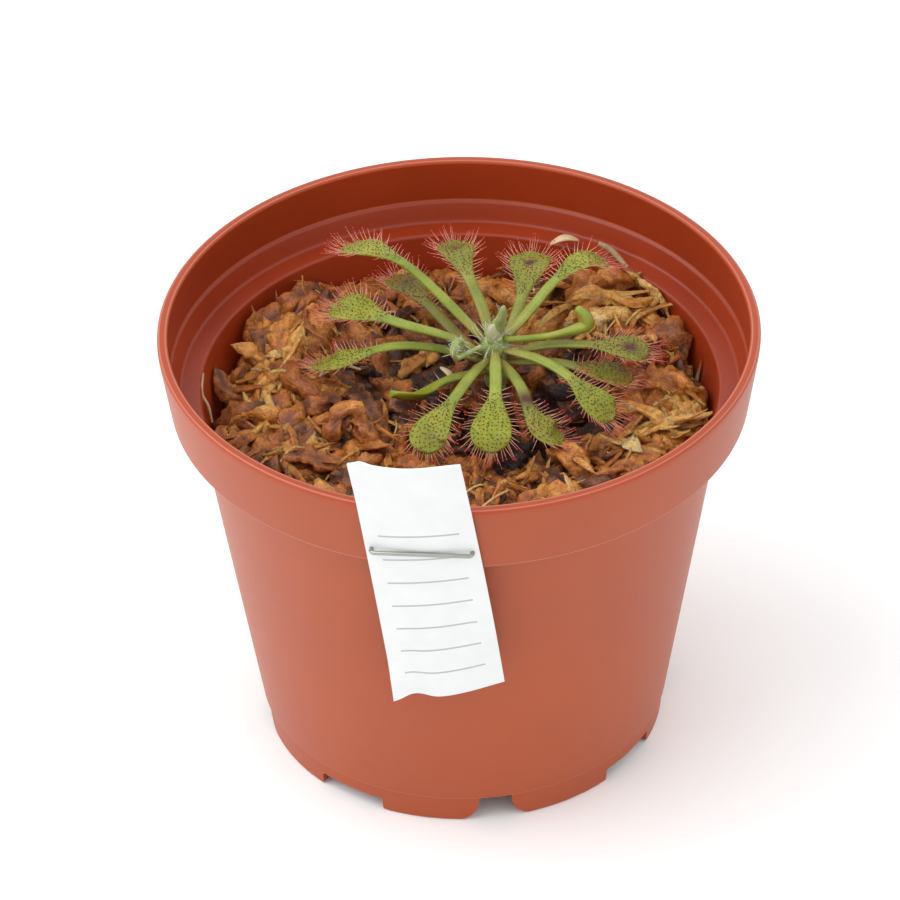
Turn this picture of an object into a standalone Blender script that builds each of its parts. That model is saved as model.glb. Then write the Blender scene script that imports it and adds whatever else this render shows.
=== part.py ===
"""A small sundew in its plastic pot.

Sizes are in millimetres up to mesh creation, where MM turns them into metres.
Heights are above the surface that the pot stands on, +Z is up and -Y is the front,
where the card label is stapled. Angles round the pot are from the front, + to the right.
"""
import math
import random

import bmesh
import bpy
import numpy as np
from mathutils import Quaternion, Vector
from mathutils.kdtree import KDTree

MM = 0.001
GAP = 0.3
SEED = 7

# The label stands out in front, so the pot's axis lies behind the middle of the whole.
AXIS_Y = 1.1

# Pot
RIM_RADIUS = 37.5
RIM_HEIGHT = 58.3
LIP_WALL = 1.4
COLLAR_HEIGHT = 9.5
COLLAR_BOTTOM_RADIUS = 36.1
BODY_TOP_RADIUS = 33.1
BASE_RADIUS = 25.9
BASE_EDGE = 3.9
FOOT_RADIUS = 25.3
WALL = 0.9
FLOOR_TOP = 5.0
FLOOR_UNDER = 4.0
DRAIN_RADIUS = 3.5
SIDE_DRAIN_RADIUS = 3.0
SIDE_DRAIN_PLACE = 15.0
POT_SIDES = 48
FOOT_TURNS = 4
NOTCH_ANGLE = 8.3
NOTCH_WIDTH = 4.2
NOTCH_TOP = 3.75
NOTCH_FLARE = 3.0
WIDE_ANGLE = 55.0
WIDE_WIDTH = 9.2
WIDE_TOP = 1.95
WIDE_FLARE = 0.5

# Moss
MOSS_LEVEL = 44.6
MOSS_ROUGHNESS = 0.7
MOSS_RINGS = 5
MOSS_SIDES = 24
STRAND_COUNT = 44
STRAND_SIDES = 5
STRAND_STEPS = 3
STRAND_RADIUS = (0.85, 1.35)
STRAND_LENGTH = (6.0, 11.0)
STRAND_LEAF_ROOM = 1.1

# Crown
CROWN = Vector((4.5, 7.2, 50.8))
STEM_RADIUS = 1.5
STEM_BOTTOM = 36.0
STEM_SIDES = 12
TIER_DROPS = (0.6, 1.7, 2.8, 3.9)

# Leaves
PETIOLE_WIDTH = 1.5
PETIOLE_ROOT_WIDTH = 1.0
PETIOLE_THICKNESS = 0.8
BLADE_THICKNESS = 0.7
BLADE_CUP = 0.07
LEAF_STATIONS = 11
MARGIN_HAIRS = 15
FACE_HAIR_ROWS = ((0.36, 2), (0.68, 2))
HAIR_LENGTH = 3.1
FACE_HAIR_LENGTH = 1.5
HAIR_FOOT = 0.17
HAIR_TIP = 0.27
HAIR_BENDS = (0, 14, -14, 28, -24, 42, 56, 70)

# Each leaf: its tier on the crown, then the points that its midrib passes, as
# sideways, back and up from the crown. The last two are the blade's middle and tip.
# Then where the blade's upper face leans, sideways and back, and the blade's length and width.
LEAVES = (
    (0, ((-7.7, 5.6, 4.5), (-11.5, 7.4, 7.2), (-15.0, 9.3, 7.8), (-18.6, 11.9, 6.3)), (0, 0.4), (8.4, 4.9)),
    (3, ((-4.6, 4.2, -2.0), (-10.5, 12.6, -0.5), (-12.6, 15.8, -1.2)), (0, 0), (7.6, 4.6)),
    (1, ((-1.4, 4.5, 1.6), (-4.0, 11.7, 4.0), (-5.2, 17.4, 3.0)), (0, 0), (8.6, 4.5)),
    (2, ((2.8, 5.2, 0.4), (4.3, 10.6, 2.6), (4.9, 15.8, 2.2)), (0, 0), (8.6, 5.2)),
    (0, ((4.6, 3.6, 2.4), (7.7, 6.6, 4.5), (11.4, 9.4, 5.5), (14.3, 9.9, 4.4)), (0, 0.2), (7.6, 5.0)),
    (1, ((6.5, -1.1, 0.2), (11.5, -2.5, 1.2), (16.1, -3.4, 1.2), (19.1, -3.9, 0.4)), (0, 0), (7.2, 4.9)),
    (2, ((7.4, -2.9, -1.2), (13.7, -5.1, -1.5), (17.0, -5.3, -2.2)), (0, 0), (7.2, 4.7)),
    (0, ((5.0, -4.1, 0.4), (8.5, -7.9, 0.8), (12.3, -13.0, 0.0), (14.2, -14.8, -1.6)), (0, 0), (8.0, 4.5)),
    (1, ((3.0, -8.5, -0.6), (4.1, -12.9, -1.1), (6.1, -16.2, -2.0), (8.2, -16.6, -3.2)), (0, 0), (7.0, 4.2)),
    (0, ((0.0, -6.0, 0.2), (-0.1, -11.3, 0.2), (-0.7, -17.1, -1.4), (-0.8, -19.0, -3.0)), (0, 0), (8.4, 5.2)),
    (1, ((-2.8, -5.6, -0.8), (-4.9, -10.6, -0.4), (-8.2, -16.3, -1.9), (-8.4, -18.6, -3.3)), (0, 0), (8.2, 4.9)),
    (3, ((-6.2, -4.5, -2.6), (-9.8, -7.8, -2.4), (-13.1, -8.8, -1.2)), (0, 0.75), (7.5, 4.6)),
    (2, ((-7.0, -0.7, -0.4), (-12.9, -2.0, 1.0), (-19.5, -3.1, -0.3), (-22.3, -1.4, -1.9)), (0, 0), (8.0, 4.5)),
    (1, ((-6.0, -1.0, 1.7), (-11.5, -0.3, 3.2), (-17.3, 3.1, 3.1), (-20.1, 5.3, 2.0)), (0, -0.2), (8.2, 5.1)),
)
YOUNG_LEAF = ((2.0, -0.9, 1.0), (6.6, -1.6, 1.9), (10.4, -1.9, 3.2), (11.7, -1.9, 3.9), (11.3, -1.5, 4.9), (10.3, -1.0, 5.7))
YOUNG_RADII = (0.45, 0.5, 0.5, 0.55, 0.75, 0.5)
COIL_ROOT = (-1.8, -1.5, 0.35)
COIL_CENTRE = (-4.3, -4.0, 1.9)
COIL_RADIUS = 1.15
COIL_THICKNESS = 0.42

# Label and staple
LABEL_ANGLE = -7.6
LABEL_TOP_LEFT = Vector((-8.2, 13.8))
LABEL_TOP_RIGHT = Vector((4.9, 15.1))
LABEL_BOTTOM_LEFT = Vector((-4.9, -26.6))
LABEL_BOTTOM_RIGHT = Vector((10.5, -23.0))
LABEL_CARD = 0.5
LABEL_COLUMNS = 5
LABEL_ROWS = 6
STAPLE_HEIGHT = 51.8
STAPLE_WIDTH = 12.3
STAPLE_WIRE = 0.28
STAPLE_REACH = 34.1
STAPLE_TURN = 3.0
HOLE_RADIUS = 0.6

COLLAR_SLOPE = (RIM_RADIUS - COLLAR_BOTTOM_RADIUS) / COLLAR_HEIGHT


def clear_scene():
    for old in list(bpy.data.objects):
        bpy.data.objects.remove(old, do_unlink=True)


def material(name, colour, roughness, metallic=0.0):
    made = bpy.data.materials.new(name)
    made.use_nodes = True
    shader = made.node_tree.nodes["Principled BSDF"]
    shader.inputs["Base Color"].default_value = (*colour, 1.0)
    shader.inputs["Roughness"].default_value = roughness
    shader.inputs["Metallic"].default_value = metallic
    return made


def add_object(name, shape, finish=None, smooth_angle=35):
    """Puts a bmesh in millimetres into the scene as one object in metres."""
    bmesh.ops.recalc_face_normals(shape, faces=shape.faces)
    bmesh.ops.scale(shape, vec=(MM, MM, MM), verts=shape.verts)
    mesh = bpy.data.meshes.new(name)
    shape.to_mesh(mesh)
    shape.free()
    made = bpy.data.objects.new(name, mesh)
    bpy.context.scene.collection.objects.link(made)
    if finish:
        mesh.materials.append(finish)
        mesh.shade_smooth()
        mesh.set_sharp_from_angle(angle=math.radians(smooth_angle))
    return made


def join_with(base, others, operation="UNION", solver="EXACT"):
    """Applies one Boolean of a collection to the base, then removes the collection's objects."""
    group = bpy.data.collections.new(base.name + "_repeats")
    bpy.context.scene.collection.children.link(group)
    for other in others:
        bpy.context.scene.collection.objects.unlink(other)
        group.objects.link(other)
    cut = base.modifiers.new("join", "BOOLEAN")
    cut.operation = operation
    cut.operand_type = "COLLECTION"
    cut.collection = group
    cut.solver = solver
    bpy.context.view_layer.update()
    graph = bpy.context.evaluated_depsgraph_get()
    joined = bpy.data.meshes.new_from_object(base.evaluated_get(graph))
    base.modifiers.clear()
    base.data = joined
    for other in others:
        bpy.data.objects.remove(other, do_unlink=True)
    bpy.data.collections.remove(group)


def keep_largest_piece(made):
    """Drops a loose scrap that a union can leave."""
    shape = bmesh.new()
    shape.from_mesh(made.data)
    unseen = set(shape.verts)
    groups = []
    while unseen:
        group = {unseen.pop()}
        edge_of_group = list(group)
        while edge_of_group:
            for edge in edge_of_group.pop().link_edges:
                for vertex in edge.verts:
                    if vertex in unseen:
                        unseen.discard(vertex)
                        group.add(vertex)
                        edge_of_group.append(vertex)
        groups.append(group)
    groups.sort(key=len, reverse=True)
    for group in groups[1:]:
        bmesh.ops.delete(shape, geom=list(group), context="VERTS")
    shape.to_mesh(made.data)
    shape.free()


def around(angle, radius, height):
    """A point at an angle from the front, + to the right."""
    turn = math.radians(angle)
    return Vector((radius * math.sin(turn), -radius * math.cos(turn), height))


def smooth_curve(points, count):
    """Points evenly spread along a smooth curve through the given ones."""
    knots = [Vector(point) for point in points]
    knots = [2 * knots[0] - knots[1]] + knots + [2 * knots[-1] - knots[-2]]
    dense = []
    for first in range(len(knots) - 3):
        a, b, c, d = knots[first:first + 4]
        for step in range(24):
            t = step / 24
            dense.append(0.5 * (2 * b + (c - a) * t + (2 * a - 5 * b + 4 * c - d) * t * t
                                + (3 * b - a - 3 * c + d) * t ** 3))
    dense.append(knots[-2])
    lengths = [0.0]
    for before, after in zip(dense, dense[1:]):
        lengths.append(lengths[-1] + (after - before).length)
    spread = []
    for step in range(count):
        want = lengths[-1] * step / (count - 1)
        index = max(1, min(len(dense) - 1, int(np.searchsorted(lengths, want))))
        part = (want - lengths[index - 1]) / max(1e-9, lengths[index] - lengths[index - 1])
        spread.append(dense[index - 1].lerp(dense[index], part))
    return spread, lengths[-1]


def ring_solid(rings, first_tip=None, last_tip=None):
    """A closed solid through rings of points, with a point or a face at each end."""
    shape = bmesh.new()
    loops = [[shape.verts.new(point) for point in ring] for ring in rings]
    sides = len(rings[0])
    for low, high in zip(loops, loops[1:]):
        for side in range(sides):
            after = (side + 1) % sides
            shape.faces.new((low[side], low[after], high[after], high[side]))
    for tip, loop in ((first_tip, loops[0]), (last_tip, loops[-1])):
        if tip is None:
            shape.faces.new(loop)
            continue
        point = shape.verts.new(tip)
        for side in range(sides):
            shape.faces.new((loop[side], loop[(side + 1) % sides], point))
    bmesh.ops.triangulate(shape, faces=shape.faces)
    return shape


def tube_rings(path, radii, sides):
    """Round rings across a path."""
    rings = []
    side_way = None
    for index, point in enumerate(path):
        ahead = (path[min(index + 1, len(path) - 1)] - path[max(index - 1, 0)]).normalized()
        if side_way is None:
            side_way = ahead.orthogonal().normalized()
        side_way = (side_way - ahead * side_way.dot(ahead)).normalized()
        other_way = ahead.cross(side_way)
        ring = []
        for side in range(sides):
            turn = 2 * math.pi * side / sides
            ring.append(point + radii[index] * (math.cos(turn) * side_way + math.sin(turn) * other_way))
        rings.append(ring)
    return rings


def tube(path, radii, sides):
    return ring_solid(tube_rings(path, radii, sides))


# Pot

def pot_profile():
    """The pot's wall and floor, outside from the top to the foot and back up inside."""
    shoulder = RIM_HEIGHT - COLLAR_HEIGHT
    lip_inner = RIM_RADIUS - LIP_WALL
    return (
        (RIM_RADIUS - 0.5, RIM_HEIGHT),
        (RIM_RADIUS, RIM_HEIGHT - 0.5),
        (COLLAR_BOTTOM_RADIUS, shoulder + 0.2),
        (COLLAR_BOTTOM_RADIUS - 0.2, shoulder),
        (BODY_TOP_RADIUS, shoulder),
        (BASE_RADIUS + 0.1, BASE_EDGE + 0.3),
        (BASE_RADIUS - 0.25, BASE_EDGE - 0.1),
        (FOOT_RADIUS + 0.1, 0.25),
        (FOOT_RADIUS - 0.15, 0.0),
        (FOOT_RADIUS - WALL, 0.0),
        (BASE_RADIUS - WALL - 0.3, FLOOR_UNDER),
        (DRAIN_RADIUS, FLOOR_UNDER),
        (DRAIN_RADIUS, FLOOR_TOP),
        (BASE_RADIUS - WALL - 0.4, FLOOR_TOP),
        (BASE_RADIUS - WALL + 0.2, FLOOR_TOP + 0.8),
        (BODY_TOP_RADIUS - WALL, shoulder + 0.4),
        (BODY_TOP_RADIUS - WALL + 0.5, shoulder + 0.9),
        (COLLAR_BOTTOM_RADIUS - 1.2, shoulder + 0.9),
        (COLLAR_BOTTOM_RADIUS - 0.9, shoulder + 1.4),
        (lip_inner - 0.3, RIM_HEIGHT - 6.1),
        (lip_inner, RIM_HEIGHT - 5.8),
        (lip_inner, RIM_HEIGHT - 0.3),
        (lip_inner + 0.3, RIM_HEIGHT),
    )


def foot_cutter(name, angle, width, top, flare):
    """A block across the foot ring, whose lower corners flare out so that the feet come out round."""
    half = width / 2
    outline = [(half + flare, -1.0)]
    for step in range(4):
        turn = 0.5 * math.pi * step / 3
        outline.append((half + flare * (1 - math.sin(turn)), flare * (1 - math.cos(turn))))
    outline += [(half, top - 0.4), (half - 0.4, top)]
    outline += [(-side, height) for side, height in reversed(outline)]
    shape = bmesh.new()
    ends = [[shape.verts.new((side, depth, height)) for side, height in outline] for depth in (-3.0, 3.0)]
    for end in ends:
        shape.faces.new(end)
    for step in range(len(outline)):
        after = (step + 1) % len(outline)
        shape.faces.new((ends[0][step], ends[0][after], ends[1][after], ends[1][step]))
    made = add_object(name, shape)
    made.location = around(angle, FOOT_RADIUS - WALL / 2, 0.0) * MM
    made.rotation_euler = (0, 0, math.radians(angle))
    return made


def round_cutter(name, start, end, radius, sides):
    return add_object(name, tube([start, end], (radius, radius), sides))


def staple_frame():
    """The way along the staple and the way out of the pot, at the label."""
    out = around(LABEL_ANGLE, 1.0, 0.0)
    return Vector((-out.y, out.x, 0.0)), out


def staple_hole_cutters(prefix):
    along, out = staple_frame()
    cutters = []
    for side in (-1, 1):
        spot = along * (side * STAPLE_WIDTH / 2) + Vector((0, 0, STAPLE_HEIGHT))
        cutters.append(round_cutter(f"{prefix}_hole_{side}", spot + out * 32.0, spot + out * 42.0, HOLE_RADIUS, 8))
    return cutters


def make_pot(finish):
    shape = bmesh.new()
    loops = []
    for radius, height in pot_profile():
        loops.append([shape.verts.new(around(360 * step / POT_SIDES, radius, height))
                      for step in range(POT_SIDES)])
    for outer, inner in zip(loops, loops[1:] + loops[:1]):
        for step in range(POT_SIDES):
            after = (step + 1) % POT_SIDES
            shape.faces.new((outer[step], outer[after], inner[after], inner[step]))
    pot = add_object("pot", shape, finish)
    cutters = staple_hole_cutters("pot")
    for turn in range(FOOT_TURNS):
        start = 360 * turn / FOOT_TURNS
        cutters.append(foot_cutter(f"notch_{turn}", start + NOTCH_ANGLE, NOTCH_WIDTH, NOTCH_TOP, NOTCH_FLARE))
        cutters.append(foot_cutter(f"wide_{turn}", start + WIDE_ANGLE, WIDE_WIDTH, WIDE_TOP, WIDE_FLARE))
        drain = around(start + 45, SIDE_DRAIN_PLACE, 0.0)
        cutters.append(round_cutter(f"drain_{turn}", drain + Vector((0, 0, 2.0)),
                                    drain + Vector((0, 0, 7.0)), SIDE_DRAIN_RADIUS, 16))
    join_with(pot, cutters, "DIFFERENCE")
    return pot


# Leaves

def leaf_width(from_tip, blade_length, blade_width):
    """A spoon-shaped outline: a round tip, widest near it, drawn in to the stalk."""
    widest = 0.29 * blade_length
    if from_tip <= widest:
        return max(0.9, blade_width * math.sqrt(max(0.0, 1 - (1 - from_tip / widest) ** 2)))
    fall = min(1.0, (from_tip - widest) / (0.78 * blade_length))
    ease = fall * fall * (3 - 2 * fall)
    return blade_width + (PETIOLE_WIDTH - blade_width) * ease


class Leaf:
    """One leaf's midrib, its ways across and up, and its outline."""

    def __init__(self, number, tier, points, lean, blade):
        self.name = f"leaf_{number:02d}"
        self.lean = lean
        first = Vector(points[0])
        heading = Vector((first.x, first.y, 0)).normalized()
        base = heading * (STEM_RADIUS + GAP + 0.05) - Vector((0, 0, TIER_DROPS[tier]))
        self.path, self.length = smooth_curve([CROWN + base] + [CROWN + Vector(point) for point in points], 41)
        self.blade_length, self.blade_width = blade

    def at(self, share):
        """The midrib's point and its ways ahead, across and up, at a share of the length."""
        place = share * (len(self.path) - 1)
        index = min(int(place), len(self.path) - 2)
        point = self.path[index].lerp(self.path[index + 1], place - index)
        ahead = (self.path[min(index + 2, len(self.path) - 1)] - self.path[max(index - 1, 0)]).normalized()
        ease = min(1.0, max(0.0, (share - 0.3) / 0.4))
        up = Vector((self.lean[0] * ease, self.lean[1] * ease, 1.0))
        up = (up - ahead * up.dot(ahead)).normalized()
        return point, ahead, ahead.cross(up), up

    def width(self, share):
        full = leaf_width((1 - share) * self.length, self.blade_length, self.blade_width)
        root = PETIOLE_ROOT_WIDTH + (PETIOLE_WIDTH - PETIOLE_ROOT_WIDTH) * share * 5
        return min(full, max(PETIOLE_ROOT_WIDTH, root)) if share < 0.2 else full

    def thickness(self, share):
        ease = min(1.0, max(0.0, (share * self.length - self.length + self.blade_length) / self.blade_length))
        return PETIOLE_THICKNESS + (BLADE_THICKNESS - PETIOLE_THICKNESS) * ease

    def shares(self):
        """Stations along the leaf, closer together round the blade."""
        blade_start = 1 - 1.12 * self.blade_length / self.length
        stalk = [blade_start * step / 4 for step in range(4)]
        blade_steps = LEAF_STATIONS - 4
        blade = [blade_start + (0.985 - blade_start) * math.sin(0.5 * math.pi * step / (blade_steps - 1))
                 for step in range(blade_steps)]
        return stalk + blade

    def ring(self, share):
        """Six points round the leaf, its edges a little raised."""
        point, _, across, up = self.at(share)
        half = self.width(share) / 2
        rise = BLADE_CUP * max(0.0, 2 * half - PETIOLE_WIDTH)
        thick = self.thickness(share) / 2
        spots = ((-1, rise, 0), (-0.5, 0.25 * rise, 1), (0.5, 0.25 * rise, 1),
                 (1, rise, 0), (0.5, 0.25 * rise, -1), (-0.5, 0.25 * rise, -1))
        return [point + across * (half * side) + up * (lift + thick * face) for side, lift, face in spots]

    def body(self):
        tip, ahead, _, _ = self.at(1.0)
        return ring_solid([self.ring(share) for share in self.shares()], last_tip=tip + ahead * 0.15)

    def samples(self):
        """Points all over the leaf, to keep other pieces clear of it."""
        spots = []
        for step in range(49):
            share = step / 48
            point, _, across, _ = self.at(share)
            half = self.width(share) / 2
            for side in (-1, -0.5, 0, 0.5, 1):
                spots.append(point + across * (side * max(0.0, half - 0.25)))
        return spots

    def hair_roots(self):
        """Each tentacle's root, its way out and its length: round the margin, then on the face."""
        roots = []
        for index in range(MARGIN_HAIRS):
            turn = math.pi * (index + 0.5) / MARGIN_HAIRS
            side, along = math.cos(turn), math.sin(turn)
            from_tip = 0.92 * self.blade_length * (1 - along) ** 1.15
            share = min(0.985, 1 - from_tip / self.length)
            point, ahead, across, up = self.at(share)
            half = self.width(share) / 2
            rise = BLADE_CUP * max(0.0, 2 * half - PETIOLE_WIDTH)
            sign = 1 if side >= 0 else -1
            sunk = 0.35 if abs(side) > 0.35 else 0.3
            root = point + across * (sign * max(0.0, half - sunk) * min(1.0, abs(side) * 2.2)) + up * rise * 0.8
            way = (across * side + ahead * (along ** 1.5 - 0.1) + up * 0.22).normalized()
            length = HAIR_LENGTH * (0.72 + 0.38 * along)
            roots.append((root, way, ahead, length))
        for place, count in FACE_HAIR_ROWS:
            share = 1 - place * self.blade_length / self.length
            point, ahead, across, up = self.at(share)
            spread = 0.62 * self.width(share)
            for index in range(count):
                side = (index + 0.5) / count - 0.5
                root = point + across * (side * spread) + up * 0.1
                way = (up + across * (0.9 * side) + ahead * (0.3 - 0.4 * place)).normalized()
                roots.append((root, way, across, FACE_HAIR_LENGTH))
        return roots


def hair_solid(root, way, length):
    """A tentacle: a three-sided stalk that swells to a rounded gland."""
    bulb = root + way * (length * 0.88)
    tip = root + way * length
    rings = tube_rings([root, bulb], (HAIR_FOOT, HAIR_TIP), 3)
    return ring_solid(rings, last_tip=tip)


def segment_points(start, end, step=0.3):
    count = max(2, int((end - start).length / step) + 1)
    return [start.lerp(end, index / (count - 1)) for index in range(count)]


class Room:
    """Keeps count of taken places, so that a new piece can be bent clear of the others."""

    def __init__(self):
        self.spots = []
        self.tree = None

    def take(self, owner, points, radius):
        for point in points:
            self.spots.append((Vector(point), owner, radius))
        self.tree = None

    def build(self):
        self.tree = KDTree(len(self.spots))
        for index, (point, _, _) in enumerate(self.spots):
            self.tree.insert(point, index)
        self.tree.balance()

    def is_clear(self, owner, points, radius, reach=3.2):
        if self.tree is None:
            self.build()
        for point in points:
            for _, index, distance in self.tree.find_range(point, reach):
                _, other, other_radius = self.spots[index]
                if other != owner and distance < radius + other_radius + GAP:
                    return False
        return True


def clear_hair(leaf, root, way, hinge, length, room, placed):
    """The tentacle's way and length once it is bent or shortened clear of other leaves."""
    for shrink in (1.0, 0.75, 0.55):
        for bend in HAIR_BENDS:
            turned = Vector(way)
            turned.rotate(Quaternion(hinge, math.radians(bend)))
            end = root + turned * (length * shrink)
            points = segment_points(root + turned * 0.5, end)
            if min(point.z for point in points) < MOSS_LEVEL + MOSS_ROUGHNESS + 0.7:
                continue
            if not room.is_clear(leaf.name, points, HAIR_TIP + 0.05, 2.6):
                continue
            if placed.is_clear(leaf.name, points, HAIR_TIP, 1.6):
                return turned, length * shrink
    return None


def make_leaf(leaf, room, placed, finish):
    body = add_object(leaf.name, leaf.body(), finish)
    hairs = []
    for index, (root, way, hinge, length) in enumerate(leaf.hair_roots()):
        found = clear_hair(leaf, root, way, hinge, length, room, placed)
        if not found:
            continue
        turned, fitted = found
        placed.take(leaf.name, segment_points(root + turned * 0.5, root + turned * fitted), HAIR_TIP)
        hairs.append(add_object(f"{leaf.name}_hair_{index}", hair_solid(root - turned * 0.05, turned, fitted)))
    join_with(body, hairs)
    keep_largest_piece(body)
    return body


def make_young_leaf(finish):
    path, _ = smooth_curve([CROWN + Vector(point) for point in YOUNG_LEAF], 14)
    radii = [float(np.interp(step / 13, np.linspace(0, 1, len(YOUNG_RADII)), YOUNG_RADII)) for step in range(14)]
    return add_object("young_leaf", tube(path, radii, 6), finish)


def coil_path():
    """A stalk that rises from the crown and rolls up at its end."""
    root = CROWN + Vector(COIL_ROOT)
    centre = CROWN + Vector(COIL_CENTRE)
    outward = Vector((COIL_CENTRE[0] - COIL_ROOT[0], COIL_CENTRE[1] - COIL_ROOT[1], 0)).normalized()
    points = [root]
    for step in range(15):
        turn = math.radians(-80 + 27 * step)
        reach = COIL_RADIUS * (1 - 0.028 * step)
        points.append(centre + outward * (reach * math.cos(turn)) + Vector((0, 0, reach * math.sin(turn)))
                      + outward.cross(Vector((0, 0, 1))) * (0.075 * step))
    return points


def make_coiled_leaf(finish):
    path = coil_path()
    radii = [COIL_THICKNESS] * len(path)
    return add_object("coiled_leaf", tube(path, radii, 5), finish)


# Crown

def make_crown(finish):
    stem_path = [Vector((CROWN.x, CROWN.y, height)) for height in (STEM_BOTTOM, 44.0, 47.2, 50.1, 51.0, 51.7)]
    crown = add_object("crown", tube(stem_path, (1.2, 1.35, STEM_RADIUS, STEM_RADIUS, 1.75, 1.0), STEM_SIDES), finish)
    buds = []
    for index, (turn, lean, height) in enumerate(((62, 1.0, 6.4), (-10, 0.4, 3.2), (175, 0.5, 3.4), (280, 0.6, 2.6))):
        side = around(turn, 1.0, 0.0)
        foot = Vector((CROWN.x, CROWN.y, CROWN.z - 0.6)) + side * 0.35
        path = [foot, foot + side * (0.35 * lean) + Vector((0, 0, height * 0.5)),
                foot + side * (0.75 * lean) + Vector((0, 0, height * 0.85)),
                foot + side * (0.9 * lean) + Vector((0, 0, height))]
        curve, _ = smooth_curve(path, 7)
        buds.append(add_object(f"bud_{index}", tube(curve, (0.6, 0.62, 0.6, 0.58, 0.62, 0.6, 0.35), 6)))
    join_with(crown, buds)
    keep_largest_piece(crown)
    return crown


# Moss

def moss_height(x, y):
    """The lumpy top of the packed moss."""
    return MOSS_LEVEL + MOSS_ROUGHNESS * (0.5 * math.sin(0.41 * x + 1.3) * math.cos(0.36 * y)
                                          + 0.5 * math.sin(0.83 * x - 0.62 * y + 0.5))


def moss_wall(height):
    """The moss's radius just inside the pot's wall."""
    shoulder = RIM_HEIGHT - COLLAR_HEIGHT
    share = (height - FLOOR_TOP - 0.8) / (shoulder + 0.4 - FLOOR_TOP - 0.8)
    low = BASE_RADIUS - WALL + 0.2
    return low + (BODY_TOP_RADIUS - WALL - low) * share - GAP - 0.1


def moss_bed():
    shape = bmesh.new()
    bottom = FLOOR_TOP + GAP
    middle_top = shape.verts.new((0, 0, moss_height(0, 0)))
    loops = []
    for ring in range(1, MOSS_RINGS + 1):
        reach = moss_wall(MOSS_LEVEL) * ring / MOSS_RINGS
        loop = []
        for step in range(MOSS_SIDES):
            spot = around(360 * step / MOSS_SIDES, reach, 0)
            loop.append(shape.verts.new((spot.x, spot.y, moss_height(spot.x, spot.y))))
        loops.append(loop)
    for height in (MOSS_LEVEL - 3.0, bottom + 1.2, bottom):
        reach = moss_wall(height) - (0.9 if height == bottom else 0.0)
        loops.append([shape.verts.new(around(360 * step / MOSS_SIDES, reach, height))
                      for step in range(MOSS_SIDES)])
    middle_bottom = shape.verts.new((0, 0, bottom))
    for step in range(MOSS_SIDES):
        after = (step + 1) % MOSS_SIDES
        shape.faces.new((middle_top, loops[0][step], loops[0][after]))
        shape.faces.new((middle_bottom, loops[-1][after], loops[-1][step]))
        for upper, lower in zip(loops, loops[1:]):
            shape.faces.new((upper[step], lower[step], lower[after], upper[after]))
    bmesh.ops.triangulate(shape, faces=shape.faces)
    return shape


def strand_path(draw):
    """A strand that arches out of the bed and back into it."""
    angle = draw.uniform(0, 360)
    reach = 30.0 * math.sqrt(draw.random())
    middle = around(angle, reach, 0)
    heading = draw.uniform(0, 2 * math.pi)
    along = Vector((math.cos(heading), math.sin(heading), 0))
    aside = Vector((-along.y, along.x, 0)) * draw.uniform(-1.6, 1.6)
    half = draw.uniform(*STRAND_LENGTH) / 2
    lift = draw.uniform(0.1, 1.5) + (0.9 if reach > 22 else 0.0)
    points = []
    for share in np.linspace(-1, 1, STRAND_STEPS + 1):
        spot = middle + along * (half * share) + aside * (1 - share * share)
        flat = math.hypot(spot.x, spot.y)
        limit = moss_wall(MOSS_LEVEL) - STRAND_RADIUS[1] - 0.1
        if flat > limit:
            spot = Vector((spot.x * limit / flat, spot.y * limit / flat, 0))
        sunk = lift * (1 - abs(share) ** 1.7 * 1.9)
        points.append(Vector((spot.x, spot.y, moss_height(spot.x, spot.y) + sunk)))
    return points


def make_moss(room, finish):
    draw = random.Random(SEED)
    bed = add_object("moss", moss_bed(), finish, 60)
    hole = round_cutter("stem_hole", Vector((CROWN.x, CROWN.y, STEM_BOTTOM - 0.5)),
                        Vector((CROWN.x, CROWN.y, 56.0)), STEM_RADIUS + GAP + 0.1, STEM_SIDES)
    strands = []
    tries = 0
    while len(strands) < STRAND_COUNT and tries < 40 * STRAND_COUNT:
        tries += 1
        path = strand_path(draw)
        radius = draw.uniform(*STRAND_RADIUS)
        if not room.is_clear("moss", path, radius + STRAND_LEAF_ROOM, 6.0):
            continue
        room.take("moss", path, radius)
        radii = [radius * (0.75 if step in (0, STRAND_STEPS) else 1.0) for step in range(STRAND_STEPS + 1)]
        strands.append(add_object(f"strand_{len(strands)}", tube(path, radii, STRAND_SIDES)))
    join_with(bed, strands)
    join_with(bed, [hole], "DIFFERENCE")
    keep_largest_piece(bed)
    return bed


# Label and staple

def label_point(across, along, out):
    """A place on the card, at shares of its width and height, and out from the collar."""
    low = LABEL_BOTTOM_LEFT.lerp(LABEL_BOTTOM_RIGHT, across)
    high = LABEL_TOP_LEFT.lerp(LABEL_TOP_RIGHT, across)
    side, rise = low.lerp(high, along)
    collar = COLLAR_BOTTOM_RADIUS + (STAPLE_HEIGHT - RIM_HEIGHT + COLLAR_HEIGHT) * COLLAR_SLOPE
    radius = collar + GAP + out + rise * (COLLAR_SLOPE + 0.008)
    turn = LABEL_ANGLE + math.degrees(side / (collar + 1.0))
    return around(turn, radius, STAPLE_HEIGHT + rise)


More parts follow.
